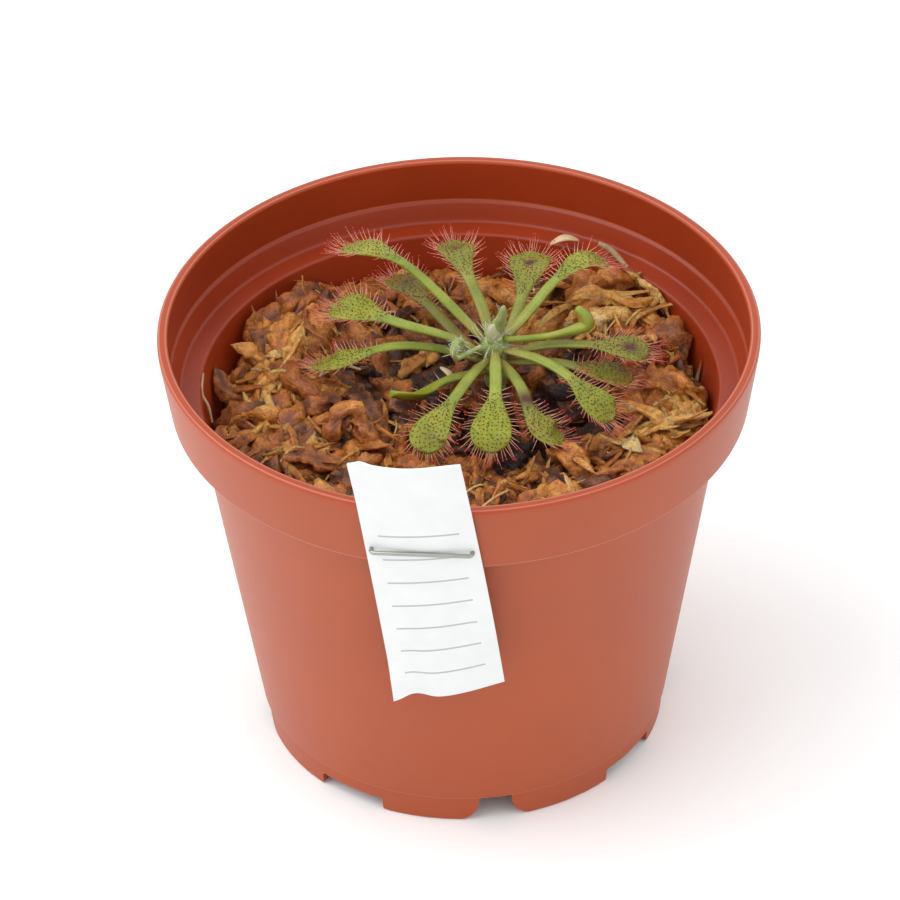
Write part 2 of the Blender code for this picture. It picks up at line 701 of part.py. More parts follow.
def make_label(finish):
    shape = bmesh.new()
    faces = []
    for out in (0.0, LABEL_CARD):
        grid = []
        for row in range(LABEL_ROWS + 1):
            line = []
            for column in range(LABEL_COLUMNS + 1):
                line.append(shape.verts.new(label_point(column / LABEL_COLUMNS, row / LABEL_ROWS, out)))
            grid.append(line)
        faces.append(grid)
    back, front = faces
    for row in range(LABEL_ROWS):
        for column in range(LABEL_COLUMNS):
            for grid in faces:
                shape.faces.new((grid[row][column], grid[row][column + 1],
                                 grid[row + 1][column + 1], grid[row + 1][column]))
    for row in range(LABEL_ROWS):
        for column in (0, LABEL_COLUMNS):
            shape.faces.new((back[row][column], back[row + 1][column],
                             front[row + 1][column], front[row][column]))
    for column in range(LABEL_COLUMNS):
        for row in (0, LABEL_ROWS):
            shape.faces.new((back[row][column], back[row][column + 1],
                             front[row][column + 1], front[row][column]))
    bmesh.ops.triangulate(shape, faces=shape.faces)
    label = add_object("label", shape, finish, 50)
    join_with(label, staple_hole_cutters("label"), "DIFFERENCE")
    return label


def make_staple(finish):
    along, out = staple_frame()
    collar = COLLAR_BOTTOM_RADIUS + (STAPLE_HEIGHT - RIM_HEIGHT + COLLAR_HEIGHT) * COLLAR_SLOPE
    crown_reach = collar + GAP + LABEL_CARD + GAP + STAPLE_WIRE
    half = STAPLE_WIDTH / 2
    corners = ((-STAPLE_TURN, STAPLE_REACH + 0.15), (-half + 0.3, STAPLE_REACH), (-half, STAPLE_REACH + 0.3),
               (-half, crown_reach - 0.3), (-half + 0.3, crown_reach), (half - 0.3, crown_reach),
               (half, crown_reach - 0.3), (half, STAPLE_REACH + 0.3), (half - 0.3, STAPLE_REACH),
               (STAPLE_TURN, STAPLE_REACH + 0.15))
    path = [along * side + out * reach + Vector((0, 0, STAPLE_HEIGHT)) for side, reach in corners]
    return add_object("staple", tube(path, [STAPLE_WIRE] * len(path), 8), finish)


def main():
    clear_scene()
    plastic = material("pot_plastic", (0.45, 0.125, 0.06), 0.32)
    moss_fibre = material("moss_fibre", (0.36, 0.17, 0.055), 0.9)
    leaf_green = material("leaf_green", (0.27, 0.34, 0.05), 0.45)
    young_green = material("young_green", (0.38, 0.42, 0.16), 0.5)
    card = material("card", (0.85, 0.85, 0.84), 0.6)
    steel = material("staple_steel", (0.62, 0.62, 0.63), 0.3, 1.0)

    room = Room()
    leaves = [Leaf(number, *spec) for number, spec in enumerate(LEAVES, 1)]
    for leaf in leaves:
        room.take(leaf.name, leaf.samples(), 0.45)
    room.take("young_leaf", smooth_curve([CROWN + Vector(point) for point in YOUNG_LEAF], 24)[0], 0.75)
    room.take("coiled_leaf", coil_path(), COIL_THICKNESS)
    room.take("crown", [CROWN + Vector((0, 0, rise * 0.5)) for rise in range(-8, 10)], 1.8)

    pieces = [make_pot(plastic), make_moss(room, moss_fibre), make_crown(young_green)]
    placed = Room()
    placed.take("none", [Vector((0, 0, 0))], 0.1)
    for leaf in leaves:
        pieces.append(make_leaf(leaf, room, placed, leaf_green))
    pieces.append(make_young_leaf(young_green))
    pieces.append(make_coiled_leaf(young_green))
    pieces.append(make_label(card))
    pieces.append(make_staple(steel))
    for piece in pieces:
        piece.location.y = AXIS_Y * MM


main()
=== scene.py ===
"""Looks for the potted sundew: a plastic pot, damp moss, glandular leaves and a stapled card.

Sizes are in millimetres in the pot's own frame (its axis at x = y = 0, floor at z = 0)
up to mesh creation, where they turn into metres and move to the pot's place.
"""
import math
import random

import bpy
import numpy as np
from mathutils import Matrix, Quaternion, Vector
from mathutils.kdtree import KDTree
from mathutils.noise import noise


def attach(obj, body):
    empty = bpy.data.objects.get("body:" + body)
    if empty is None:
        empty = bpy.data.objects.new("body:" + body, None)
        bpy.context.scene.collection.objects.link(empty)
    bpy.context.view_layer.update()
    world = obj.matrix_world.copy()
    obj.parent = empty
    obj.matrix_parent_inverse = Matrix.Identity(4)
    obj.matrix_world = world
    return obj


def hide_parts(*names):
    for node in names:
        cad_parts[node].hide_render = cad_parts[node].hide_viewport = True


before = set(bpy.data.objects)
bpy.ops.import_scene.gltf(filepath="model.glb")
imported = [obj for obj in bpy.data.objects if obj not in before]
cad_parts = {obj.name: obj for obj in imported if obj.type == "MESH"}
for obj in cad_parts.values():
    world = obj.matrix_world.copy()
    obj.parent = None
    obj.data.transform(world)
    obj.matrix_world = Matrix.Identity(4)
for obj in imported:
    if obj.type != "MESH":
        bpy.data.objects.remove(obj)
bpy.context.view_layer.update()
bpy.ops.object.select_all(action="DESELECT")

MM = 0.001
# How far the pot's axis is behind the middle of the whole.
AXIS_Y = 1.1
# The room between meshes that touch.
GAP = 0.3
UP = Vector((0, 0, 1))
# Nearly upright: a way up that no strand of moss runs along.
LEANING_UP = Vector((0.03, 0.02, 1.0))
# The dense points on each stretch of a smooth curve.
CURVE_STEPS = 24
BLACK = (0, 0, 0)
WHITE = (1, 1, 1)
# The angles past which an edge stays sharp, in degrees.
POT_CREASE = 32
CARD_CREASE = 40
WIRE_CREASE = 50
# Each random draw starts from its own seed. A leaf adds its number.
CROWN_SEED = 5
COIL_SEED = 9
MOSS_SEED = 21
LEAF_SEED = 100

# Pot
RIM_RADIUS = 37.5
RIM_HEIGHT = 58.3
LIP_WALL = 1.4
COLLAR_HEIGHT = 9.5
COLLAR_BOTTOM_RADIUS = 36.1
SHOULDER = RIM_HEIGHT - COLLAR_HEIGHT
BODY_TOP_RADIUS = 33.1
BASE_RADIUS = 25.9
BASE_EDGE = 3.9
FOOT_RADIUS = 25.3
WALL = 0.9
FLOOR_TOP = 5.0
FLOOR_UNDER = 4.0
POT_STEPS = 160
CORNER_STEPS = 4
# The inside and the lip: how far within the outer wall, and how near the top, their faces are. The inside's
# faces take a darker copy of the plastic as painted shade. The lip's faces take a more saturated orange copy
# as painted light glowing through the thin rim.
INSIDE_DEPTH = 0.55
LIP_BAND = 0.5
DRAIN_RADIUS = 3.5
SIDE_DRAIN_RADIUS = 3.0
SIDE_DRAIN_PLACE = 15.0
DRAIN_SIDES = 40
FOOT_TURNS = 4
# The notches between the feet: angle from the front, width, height and how far the lower edge flares.
NOTCHES = ((8.3, 4.2, 3.75, 3.0), (55.0, 9.2, 1.95, 0.5))
CUTTER_DEPTH = 6.0
COLLAR_SLOPE = (RIM_RADIUS - COLLAR_BOTTOM_RADIUS) / COLLAR_HEIGHT
POT_LIGHT = (0.375, 0.066, 0.014)
POT_DARK = (0.340, 0.056, 0.012)
# The inside's darker, deeper copy of the plastic is painted shade.
SHADED_INSIDE_LIGHT = (0.330, 0.036, 0.006)
SHADED_INSIDE_DARK = (0.260, 0.027, 0.005)
# The lip's more saturated orange copy of the plastic is painted light glowing through the thin rim.
LIT_LIP_LIGHT = (0.39, 0.050, 0.011)
LIT_LIP_DARK = (0.35, 0.045, 0.010)
# A pale colour painted in thin lines along the rounded edges at these heights and radii is a painted
# highlight. The same colour marks the scuffs, which are real wear.
EDGE_HIGHLIGHT_AND_SCUFF = (0.58, 0.25, 0.15)
HIGHLIGHT_LINE_REACH = 0.14
HIGHLIGHT_LINE_HEIGHTS = (SHOULDER + 0.1, BASE_EDGE)
HIGHLIGHT_LINE_RADII = (RIM_RADIUS - 0.30, RIM_RADIUS - LIP_WALL + 0.30)

# Moss
MOSS_LEVEL = 44.6
MOSS_EDGE = 31.0
# Where the moss heaps up, and where it opens: sideways, back, reach and height or depth.
MOUNDS = ((19, 18, 9.5, 3.6), (-22, 5, 8.0, 1.7), (27, 4, 7.0, 1.3), (-20.5, 18.0, 6.5, 4.6),
          (22, -12, 7.0, 0.9))
HOLLOWS = ((11.0, 2.0, 6.2, 8.0), (9.0, -5.0, 4.8, 6.5), (-7.0, 7.0, 5.0, 4.0), (1.5, -2.0, 4.5, 3.6),
           (-30.5, 3.0, 3.4, 6.0), (31.5, 7.0, 3.0, 5.0), (14.0, -9.0, 3.0, 2.4))
# Where it is bleached: sideways, back, reach and how much paler.
BLEACHED = ((-23, 7, 7.0, 0.36), (-24, -2, 6.0, 0.10), (19, 20, 9.0, 0.34), (25, -4, 8.0, 0.28),
            (14, -16, 7.0, 0.16), (28, 5, 6.0, 0.16), (-13, -6, 8.0, 0.12), (-4, -18, 8.0, 0.10))
# How near a leaf the moss is held down, and how far under it, for the bed and for the strands.
BED_SHADOW = 2.0
BED_CLEARANCE = 1.6
STRAND_SHADOW = 2.4
STRAND_CLEARANCE = 2.2
# A strand that would sink more than this is left out.
MOST_LOWERED = 3.5
TREE_STEPS = 40
BED_RINGS = 96
BED_SIDES = 320
BED_DROP = 2.2
FOLD_HEIGHT = 3.6
# The bed's side, under its edge: height and radius, down to the pot's floor.
BED_BOTTOM = FLOOR_TOP + GAP
BED_SIDE = ((36.0, 29.6), (BED_BOTTOM + 1.2, 24.6), (BED_BOTTOM, 23.6))
# The layers of strands: how many, how high they lie, their half widths and lengths, and the most
# branchlets and scales on each.
MOSS_LAYERS = (
    (130, -0.2, (1.3, 2.2), (9, 17), 1, 0),
    (80, 0.5, (0.9, 1.7), (7, 15), 2, 1),
    (150, 1.0, (0.35, 0.75), (6, 13), 3, 1),
    (110, 1.3, (0.22, 0.42), (5, 12), 2, 0),
)
# Strands are made in batches of about this many faces, each a piece.
BATCH_FACES = 60000
ROPE_STATIONS = 26
ROPE_SIDES = 16
BRANCHLET_SIDES = 8
FIBRES = 70
FIBRE_STATIONS = 10
# The pieces of moss that stand out: half width, paleness and the points that they pass.
MARKED_STRANDS = (
    (1.0, 0.80, ((-21.8, 7.0, 44.8), (-20.9, 8.8, 48.0), (-19.5, 10.4, 52.2))),
    (1.1, 0.62, ((-22.4, 11.0, 45.0), (-23.6, 13.4, 47.4), (-26.9, 14.2, 48.6))),
    (0.9, 0.60, ((-22.4, 12.4, 46.0), (-24.0, 14.2, 48.0), (-24.7, 15.2, 49.6))),
    (0.9, 0.70, ((-22.0, 8.5, 45.2), (-25.6, 10.6, 46.8), (-28.9, 11.4, 48.0))),
    (1.5, 0.66, ((-25.4, 4.6, 45.6), (-23.2, 6.0, 46.6), (-20.4, 7.6, 46.2))),
    (1.5, 0.50, ((-17.4, -6.2, 44.0), (-15.4, -4.8, 47.6), (-13.2, -4.0, 48.4), (-11.2, -6.0, 46.4),
                 (-9.4, -8.2, 44.6))),
    (0.8, 0.40, ((-31.0, 8.0, 47.6), (-29.4, 5.0, 45.6), (-26.6, 3.2, 45.0))),
    (1.7, 0.40, ((-11.4, 8.0, 45.0), (-7.6, 2.0, 46.0), (-4.0, -3.4, 44.8))),
    (1.5, 0.34, ((-14.5, 5.0, 45.2), (-11.5, 0.0, 46.2), (-9.0, -4.5, 44.6))),
    (1.3, 0.44, ((-21.0, 0.0, 45.0), (-17.5, 1.2, 46.4), (-13.5, 3.0, 45.4))),
    (2.1, 0.60, ((13.4, 18.4, 47.0), (18.2, 21.8, 49.4), (23.4, 22.6, 48.2))),
    (2.0, 0.56, ((12.0, 14.0, 45.8), (16.5, 17.4, 48.4), (21.6, 18.2, 48.0))),
    (1.0, 0.78, ((11.8, 17.0, 48.4), (17.0, 18.4, 49.8), (22.0, 16.8, 49.2), (25.4, 19.6, 48.6))),
    (0.8, 0.82, ((22.4, 22.6, 49.6), (26.0, 19.0, 48.8), (27.0, 15.6, 46.0))),
    (0.7, 0.80, ((21.0, 24.0, 49.8), (24.4, 21.4, 49.0), (26.4, 17.6, 46.8))),
    (2.0, 0.44, ((22.4, 12.8, 45.6), (26.6, 12.6, 47.6), (28.6, 9.0, 46.0))),
    (1.8, 0.62, ((21.0, 4.6, 45.4), (26.4, 3.0, 47.0), (30.4, 1.4, 46.0))),
    (1.6, 0.56, ((17.4, 1.4, 44.4), (22.0, -1.0, 46.4), (26.4, -3.4, 45.2))),
    (0.6, 0.86, ((19.6, 0.4, 46.6), (23.6, -3.6, 47.4), (27.6, -8.0, 46.4))),
    (0.5, 0.88, ((21.0, -9.0, 46.0), (25.0, -6.0, 47.2), (29.0, -4.4, 46.6))),
    (0.5, 0.84, ((18.4, -6.4, 46.0), (21.4, -9.6, 46.8), (25.6, -10.6, 46.2))),
    (1.4, 0.56, ((10.6, -8.4, 44.6), (13.4, -11.4, 46.8), (16.6, -14.6, 45.0))),
    (1.2, 0.60, ((16.0, -16.4, 44.8), (20.0, -14.0, 46.6), (24.4, -14.4, 45.0))),
    (1.3, 0.50, ((-8.6, -10.0, 44.8), (-5.0, -13.4, 46.2), (-1.4, -17.0, 45.0))),
    (1.5, 0.42, ((-22.5, -8.6, 44.6), (-19.0, -10.6, 46.4), (-14.6, -11.4, 45.4))),
    (1.6, 0.36, ((-16.6, -11.6, 45.0), (-13.0, -14.6, 46.0), (-9.0, -16.0, 44.8))),
)

# Plant
CROWN = Vector((4.5, 7.2, 50.8))
STEM_RADIUS = 1.5
STEM_HEIGHTS = (38.0, 44.0, 47.2, 49.6, 50.6, 51.3, 51.9)
STEM_RADII = (1.2, 1.35, STEM_RADIUS, 1.62, 1.7, 1.3, 0.7)
STEM_SIDES = 20
# The crown's buds: angle, lean, height, girth and how cream they are.
BUDS = ((62, 1.0, 6.4, 0.8, 0.15), (-10, 0.4, 3.7, 0.85, 0.95), (175, 0.5, 3.4, 0.55, 0.15),
        (280, 0.6, 2.6, 0.5, 0.15), (30, 1.2, 2.0, 0.45, 0.15), (230, 1.3, 1.9, 0.45, 0.15),
        (130, 1.3, 1.8, 0.42, 0.15), (330, 1.2, 1.7, 0.42, 0.15))
BUD_STATIONS = 14
BUD_SIDES = 12
BUD_HAIRS = 9
CROWN_HAIRS = 46
TIER_DROPS = (0.6, 1.7, 2.8, 3.9)
PETIOLE_WIDTH = 1.5
PETIOLE_ROOT_WIDTH = 1.0
PETIOLE_THICKNESS = 0.8
ROOT_SHARE = 0.2
BLADE_THICKNESS = 0.7
BLADE_CUP = 0.07
BLADE_GROOVE = 0.08
LEAF_KEEL = 0.22
# The points on a midrib, the sections along a leaf, and half the sides of each.
MIDRIB_POINTS = 81
LEAF_STATIONS = 46
HALF_SIDES = 8
# The leaf's own measure starts here, so that its dots never read a negative place.
LIE_START = 50.0
MARGIN_HAIRS = 54
FACE_HAIRS = 110
MARGIN_HAIR_LENGTH = 2.6
MARGIN_GIRTHS = (0.058, 0.100)
FACE_GIRTHS = (0.04, 0.072)
TENTACLE_SIDES = 5

# Each leaf: its tier on the crown, then the points that its midrib passes, as
# sideways, back and up from the crown. The last two are the blade's middle and tip.
# Then where the blade's upper face leans, sideways and back, and the blade's length and width.
LEAVES = (
    (0, ((-7.7, 5.6, 4.5), (-11.5, 7.4, 7.2), (-15.0, 9.3, 7.8), (-18.6, 11.9, 6.3)), (0, 0.15), (8.4, 4.9)),
    (3, ((-4.6, 4.2, -2.0), (-10.5, 12.6, -0.5), (-12.6, 15.8, -1.2)), (0, 0), (7.6, 4.6)),
    (1, ((-1.4, 4.5, 1.6), (-4.0, 11.7, 4.0), (-5.2, 17.4, 3.0)), (0, 0), (8.6, 4.5)),
    (2, ((2.8, 5.2, 0.4), (4.3, 10.6, 2.6), (4.9, 15.8, 2.2)), (0, 0), (8.6, 5.2)),
    (0, ((4.6, 3.6, 2.4), (7.7, 6.6, 4.5), (11.4, 9.4, 5.5), (14.3, 9.9, 4.4)), (0, 0.2), (7.6, 5.0)),
    (1, ((6.5, -1.1, 0.2), (11.5, -2.5, 1.2), (16.1, -3.4, 1.2), (19.1, -3.9, 0.4)), (0, 0), (7.2, 4.9)),
    (2, ((7.4, -2.9, -1.2), (13.7, -5.1, -1.5), (17.0, -5.3, -2.2)), (0, 0), (7.2, 4.7)),
    (0, ((5.0, -4.1, 0.4), (8.5, -7.9, 0.8), (12.3, -13.0, 0.0), (14.2, -14.8, -1.6)), (0, 0), (8.0, 4.5)),
    (1, ((3.0, -8.5, -0.6), (4.1, -12.9, -1.1), (6.1, -16.2, -2.0), (8.2, -16.6, -3.2)), (0, 0), (7.0, 4.2)),
    (0, ((0.0, -6.0, 0.2), (-0.1, -11.3, 0.2), (-0.7, -17.1, -1.4), (-0.8, -19.0, -3.0)), (0, 0), (8.4, 5.2)),
    (1, ((-2.8, -5.6, -0.8), (-4.9, -10.6, -0.4), (-8.2, -16.3, -1.9), (-8.4, -18.6, -3.3)),
     (0, 0), (8.2, 4.9)),
    (3, ((-6.2, -4.5, -2.6), (-9.8, -7.8, -2.4), (-13.1, -8.8, -1.2)), (0, 0.75), (7.5, 4.6)),
    (2, ((-7.0, -0.7, -0.4), (-12.9, -2.0, 1.0), (-19.5, -3.1, -0.3), (-22.3, -1.4, -1.9)),
     (0, 0), (8.0, 4.5)),
    (1, ((-6.0, -1.0, 1.7), (-11.5, -0.3, 3.2), (-17.3, 3.1, 3.1), (-20.1, 5.3, 2.0)), (0, -0.2), (8.2, 5.1)),
)
# How dark and red each leaf is: the old ones low down are duller.
LEAF_AGE = (0.05, 0.75, 0.45, 0.4, 0.1, 0.45, 0.65, 0.15, 0.35, 0.0, 0.15, 0.1, 0.2, 0.15)
# The leaf that shows only its smooth underside.
EDGE_ON_LEAF = 12
# Browned places on blades and stalks, by leaf: how far from the tip, how wide and how strong.
BROWNED = {2: (3.2, 1.0, 0.9), 3: (2.6, 1.0, 0.8), 4: (3.0, 0.55, 1.8), 6: (2.4, 1.0, 1.5),
           9: (8.0, 1.4, 1.1), 11: (2.2, 0.8, 0.5)}
YOUNG_ROOT = (1.2, 0.6, 0.2)
YOUNG_LEAF = ((2.0, -0.9, 1.0), (6.6, -1.6, 1.9), (10.4, -1.9, 3.2), (11.7, -1.9, 3.9), (11.3, -1.5, 4.9),
              (10.3, -1.0, 5.7))
YOUNG_RADII = (0.42, 0.5, 0.52, 0.54, 0.62, 0.92, 0.95, 0.6)
YOUNG_STATIONS = 40
YOUNG_SIDES = 14
COIL_ROOT = (-1.8, -1.5, 0.35)
COIL_CENTRE = (-4.3, -4.0, 1.9)
COIL_RADIUS = 1.15
COIL_START = -80
COIL_STEP = 27
COIL_STEPS = 15
COIL_SHRINK = 0.028
COIL_DRIFT = 0.075
COIL_STATIONS = 60
COIL_SIDES = 10
COIL_HAIRS = 46

# Loose bits on the moss: the points that each thin one passes.
LOOSE_TWIG = ((18.0, 27.0, 51.6), (19.6, 26.4, 50.9), (21.6, 24.6, 49.4))
LOOSE_STRAW = ((-32.0, 2.4, 50.2), (-32.2, 0.4, 48.6), (-31.4, -0.6, 47.2), (-31.0, -1.2, 45.2))
LOOSE_FIBRE = ((-18.0, 4.4, 46.6), (-16.8, 6.6, 47.4), (-14.6, 6.8, 47.8), (-12.4, 6.4, 47.4))
LOOSE_STATIONS = 16
# Each flake: its root, the way it points, its length and width, and its curl.
LOOSE_FLAKES = (("loose_husk", (11.9, 28.6, 50.4), (1, 0.12, 0.05), (3.7, 1.3), 0.25),
                ("loose_scale", (-0.9, 3.8, 46.8), (-0.5, 0.35, 0.62), (2.6, 0.9), 0.3))
FLAKE_THICKNESS = 0.12

# Label and staple
LABEL_ANGLE = -7.6
LABEL_TOP_LEFT = Vector((-8.2, 13.8))
LABEL_TOP_RIGHT = Vector((4.9, 15.1))
LABEL_BOTTOM_LEFT = Vector((-4.9, -26.6))
LABEL_BOTTOM_RIGHT = Vector((10.5, -23.0))
CARD_FACE = 0.36
CARD_MIDDLE = 0.18
CARD_THICKNESS = 0.32
CARD_COLUMNS = 32
CARD_ROWS = 80
# How much more than the collar the card leans outwards, for each millimetre of height.
CARD_LEAN = 0.008
# The ruled lines: the shares of the card's width and height that they keep to, how many the whole
# height would hold, and each line's share of its row.
RULED_ACROSS = (0.14, 0.86)
RULED_ALONG = (0.10, 0.80)
RULED_ROWS = 10.0
RULED_WEIGHT = 0.07
STAPLE_HEIGHT = 51.8
STAPLE_COLLAR = COLLAR_BOTTOM_RADIUS + (STAPLE_HEIGHT - RIM_HEIGHT + COLLAR_HEIGHT) * COLLAR_SLOPE
STAPLE_WIDTH = 12.3
STAPLE_WIRE = 0.28
STAPLE_REACH = 34.1
STAPLE_TURN = 3.0
STAPLE_SLOPE = 0.035
STAPLE_BENDS = (0.3, 0.8, 1.3)

# Camera, fitted to the rim, collar and base ellipses
CAMERA_LENS = 280.0
CAMERA_SENSOR = 36.0
CAMERA_ELEVATION = 36.162
CAMERA_DISTANCE = 23.137 * RIM_RADIUS
CAMERA_PAN = 0.088
CAMERA_TILT = -0.998
CAMERA_ROLL = 0.93

# Light, in metres and watts: each lamp's place, size and strength
WORLD_STRENGTH = 1.08
LIGHT_TARGET = (0, 0, 0.03)
KEY_LIGHT = ((-0.62, -0.12, 0.72), (1.0, 1.0), 5.2)
FILL_LIGHT = ((0.6, -0.5, 0.5), (0.5, 0.7), 0.5)
FLOOR_SIZE = 6.0
FLOOR_DROP = 0.00005


# Places and meshes

def around(angle, radius, height):
    """A point at an angle from the front, + to the right."""
    turn = math.radians(angle)
    return Vector((radius * math.sin(turn), -radius * math.cos(turn), height))


def place(point):
    """A point in the pot's frame, in the object's metres."""
    return (point[0] * MM, (point[1] + AXIS_Y) * MM, point[2] * MM)


def clamp(value, low=0.0, high=1.0):
    return min(high, max(low, value))


def graded(values, count):
    """Values along a run, drawn out evenly to a count."""
    shares = np.linspace(0, 1, len(values))
    return [float(np.interp(step / (count - 1), shares, values)) for step in range(count)]


def jitter(draw, reach):
    return Vector([draw.uniform(-reach, reach) for _ in range(3)])


def linked(name, data):
    """A new object in the scene."""
    made = bpy.data.objects.new(name, data)
    bpy.context.scene.collection.objects.link(made)
    return made


def activate(made):
    bpy.ops.object.select_all(action="DESELECT")
    bpy.context.view_layer.objects.active = made
    made.select_set(True)


def apply_modifier(made, modifier):
    activate(made)
    bpy.ops.object.modifier_apply(modifier=modifier.name)


def face_outwards(made):
    """Turns all faces of a closed mesh outwards."""
    activate(made)
    bpy.ops.object.mode_set(mode="EDIT")
    bpy.ops.mesh.select_all(action="SELECT")
    bpy.ops.mesh.normals_make_consistent(inside=False)
    bpy.ops.object.mode_set(mode="OBJECT")


def declare(made, node=None):
    """Attaches a piece to the root body, and hides the imported node that it stands for."""
    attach(made, "root")
    if node:
        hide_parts(node)


def colour_points(made, name, values):
    """Keeps one colour per point, for materials that vary along a piece."""
    layer = made.data.color_attributes.new(name, "FLOAT_COLOR", "POINT")
    layer.data.foreach_set("color", np.asarray(values, dtype=np.float32).ravel())


def curve_through(points):
    """A dense smooth curve through points, and the length up to each dense point."""
    knots = [Vector(point) for point in points]
    knots = [2 * knots[0] - knots[1]] + knots + [2 * knots[-1] - knots[-2]]
    dense = []
    for first in range(len(knots) - 3):
        a, b, c, d = knots[first:first + 4]
        for step in range(CURVE_STEPS):
            t = step / CURVE_STEPS
            dense.append(0.5 * (2 * b + (c - a) * t + (2 * a - 5 * b + 4 * c - d) * t * t
                                + (3 * b - a - 3 * c + d) * t ** 3))
    dense.append(knots[-2])
    lengths = [0.0]
    for before, after in zip(dense, dense[1:]):
        lengths.append(lengths[-1] + (after - before).length)
    return dense, lengths


def smooth_curve(points, count):
    """Points evenly spread along a smooth curve through the given ones."""
    dense, lengths = curve_through(points)
    spread = []
    for step in range(count):
        want = lengths[-1] * step / (count - 1)
        index = int(clamp(np.searchsorted(lengths, want), 1, len(dense) - 1))
        part = (want - lengths[index - 1]) / max(1e-9, lengths[index] - lengths[index - 1])
        spread.append(dense[index - 1].lerp(dense[index], part))
    return spread


class Shape:
    """Gathers the points, faces and point colours of one piece."""

    def __init__(self):
        self.points = []
        self.faces = []
        self.colours = []

    def rings(self, rings, colours, tip=None, root=None):
        """Skins rings of points, and closes each end with a point or a face."""
        start = len(self.points)
        sides = len(rings[0])
        for ring, colour in zip(rings, colours):
            self.points.extend(ring)
            self.colours.extend([colour] * sides)
        for row in range(len(rings) - 1):
            low, high = start + row * sides, start + (row + 1) * sides
            for side in range(sides):
                after = (side + 1) % sides
                self.faces.append((low + side, low + after, high + after, high + side))
        last = start + (len(rings) - 1) * sides
        self.close(list(range(start, start + sides))[::-1], root, colours[0])
        self.close(list(range(last, last + sides)), tip, colours[-1])

    def close(self, loop, end, colour):
        """Closes an end with a fan of faces to a point, or with one face."""
        if end is None:
            self.faces.append(tuple(loop))
            return
        point = len(self.points)
        self.points.append(end)
        self.colours.append(colour)
        self.faces.extend((corner, after, point) for corner, after in zip(loop, loop[1:] + loop[:1]))

    def make(self, name, finish):
        """The piece itself: a smooth mesh in its final place."""
        mesh = bpy.data.meshes.new(name)
        mesh.from_pydata([place(point) for point in self.points], [], self.faces)
        mesh.materials.append(finish)
        mesh.shade_smooth()
        mesh.update()
        made = linked(name, mesh)
        colour_points(made, "tint", self.colours)
        return made


def tube_rings(path, radii, sides, squash=1.0, up=None):
    """Rings across a path, flattened across `up` if asked."""
    rings = []
    side_way = None
    for index, point in enumerate(path):
        ahead = (path[min(index + 1, len(path) - 1)] - path[max(index - 1, 0)]).normalized()
        if side_way is None:
            side_way = (ahead.orthogonal() if up is None else ahead.cross(up)).normalized()
        side_way = (side_way - ahead * side_way.dot(ahead)).normalized()
        other_way = ahead.cross(side_way)
        ring = []
        for side in range(sides):
            turn = 2 * math.pi * side / sides
            way = math.cos(turn) * side_way + squash * math.sin(turn) * other_way
            ring.append(point + radii[index] * way)
        rings.append(ring)
    return rings


# Materials

def new_material(name):
    made = bpy.data.materials.new(name)
    made.use_nodes = True
    return made, made.node_tree, made.node_tree.nodes["Principled BSDF"]


def put(tree, spot, value):
    """Links a socket to an input, or sets the input to a value."""
    if isinstance(value, bpy.types.NodeSocket):
        tree.links.new(value, spot)
    else:
        spot.default_value = value


def set_inputs(tree, made, **inputs):
    """Sets or links a node's inputs, named with _ for a space."""
    for key, value in inputs.items():
        put(tree, made.inputs[key.replace("_", " ")], value)


def node(tree, kind, settings=None, **inputs):
    """Adds a node, with its own settings and its inputs."""
    made = tree.nodes.new(kind)
    for key, value in (settings or {}).items():
        setattr(made, key, value)
    set_inputs(tree, made, **inputs)
    return made


def ramp(tree, factor, stops):
    made = node(tree, "ShaderNodeValToRGB", Fac=factor)
    elements = made.color_ramp.elements
    while len(elements) < len(stops):
        elements.new(0.5)
    for element, (position, colour) in zip(elements, stops):
        element.position = position
        element.color = (*colour, 1.0)
    return made.outputs["Color"]


def mix(tree, factor, first, second, blend="MIX"):
    """Mixes two colours. A Mix node has a set of sockets for each kind, so they go by number."""
    made = node(tree, "ShaderNodeMix", {"data_type": "RGBA", "blend_type": blend})
    for number, value in ((0, factor), (6, first), (7, second)):
        put(tree, made.inputs[number], (*value, 1.0) if isinstance(value, tuple) else value)
    return made.outputs[2]


def math_node(tree, operation, *values):
    made = node(tree, "ShaderNodeMath", {"operation": operation})
    for spot, value in zip(made.inputs, values):
        put(tree, spot, value)
    return made.outputs[0]


def times(tree, first, second):
    return math_node(tree, "MULTIPLY", first, second)


def plus(tree, first, second):
    return math_node(tree, "ADD", first, second)


def minus(tree, first, second):
    return math_node(tree, "SUBTRACT", first, second)


def between(tree, value, low, high):
    """1 where a value is between two others, and 0 elsewhere."""
    return times(tree, math_node(tree, "GREATER_THAN", value, low), math_node(tree, "LESS_THAN", value, high))


def near(tree, value, level, reach):
    """1 at a level and 0 beyond the reach on either side of it."""
    away = math_node(tree, "ABSOLUTE", minus(tree, value, level * MM))
    return math_node(tree, "MAXIMUM", minus(tree, 1.0, math_node(tree, "DIVIDE", away, reach * MM)), 0.0)


def mottle_group():
    """Cloudy variation at two sizes, for plastic, leaf and moss alike."""
    group = bpy.data.node_groups.new("mottle", "ShaderNodeTree")
    for label, way, kind in (("Vector", "INPUT", "Vector"), ("Coarse Scale", "INPUT", "Float"),
                             ("Fine Scale", "INPUT", "Float"), ("Coarse", "OUTPUT", "Float"),
                             ("Fine", "OUTPUT", "Float")):
        group.interface.new_socket(label, in_out=way, socket_type=f"NodeSocket{kind}")
    incoming = group.nodes.new("NodeGroupInput").outputs
    outgoing = group.nodes.new("NodeGroupOutput").inputs
    for size, detail in (("Coarse", 3.0), ("Fine", 5.0)):
        cloud = node(group, "ShaderNodeTexNoise", Vector=incoming["Vector"], Scale=incoming[f"{size} Scale"],
                     Detail=detail)
        group.links.new(cloud.outputs["Fac"], outgoing[size])
    return group


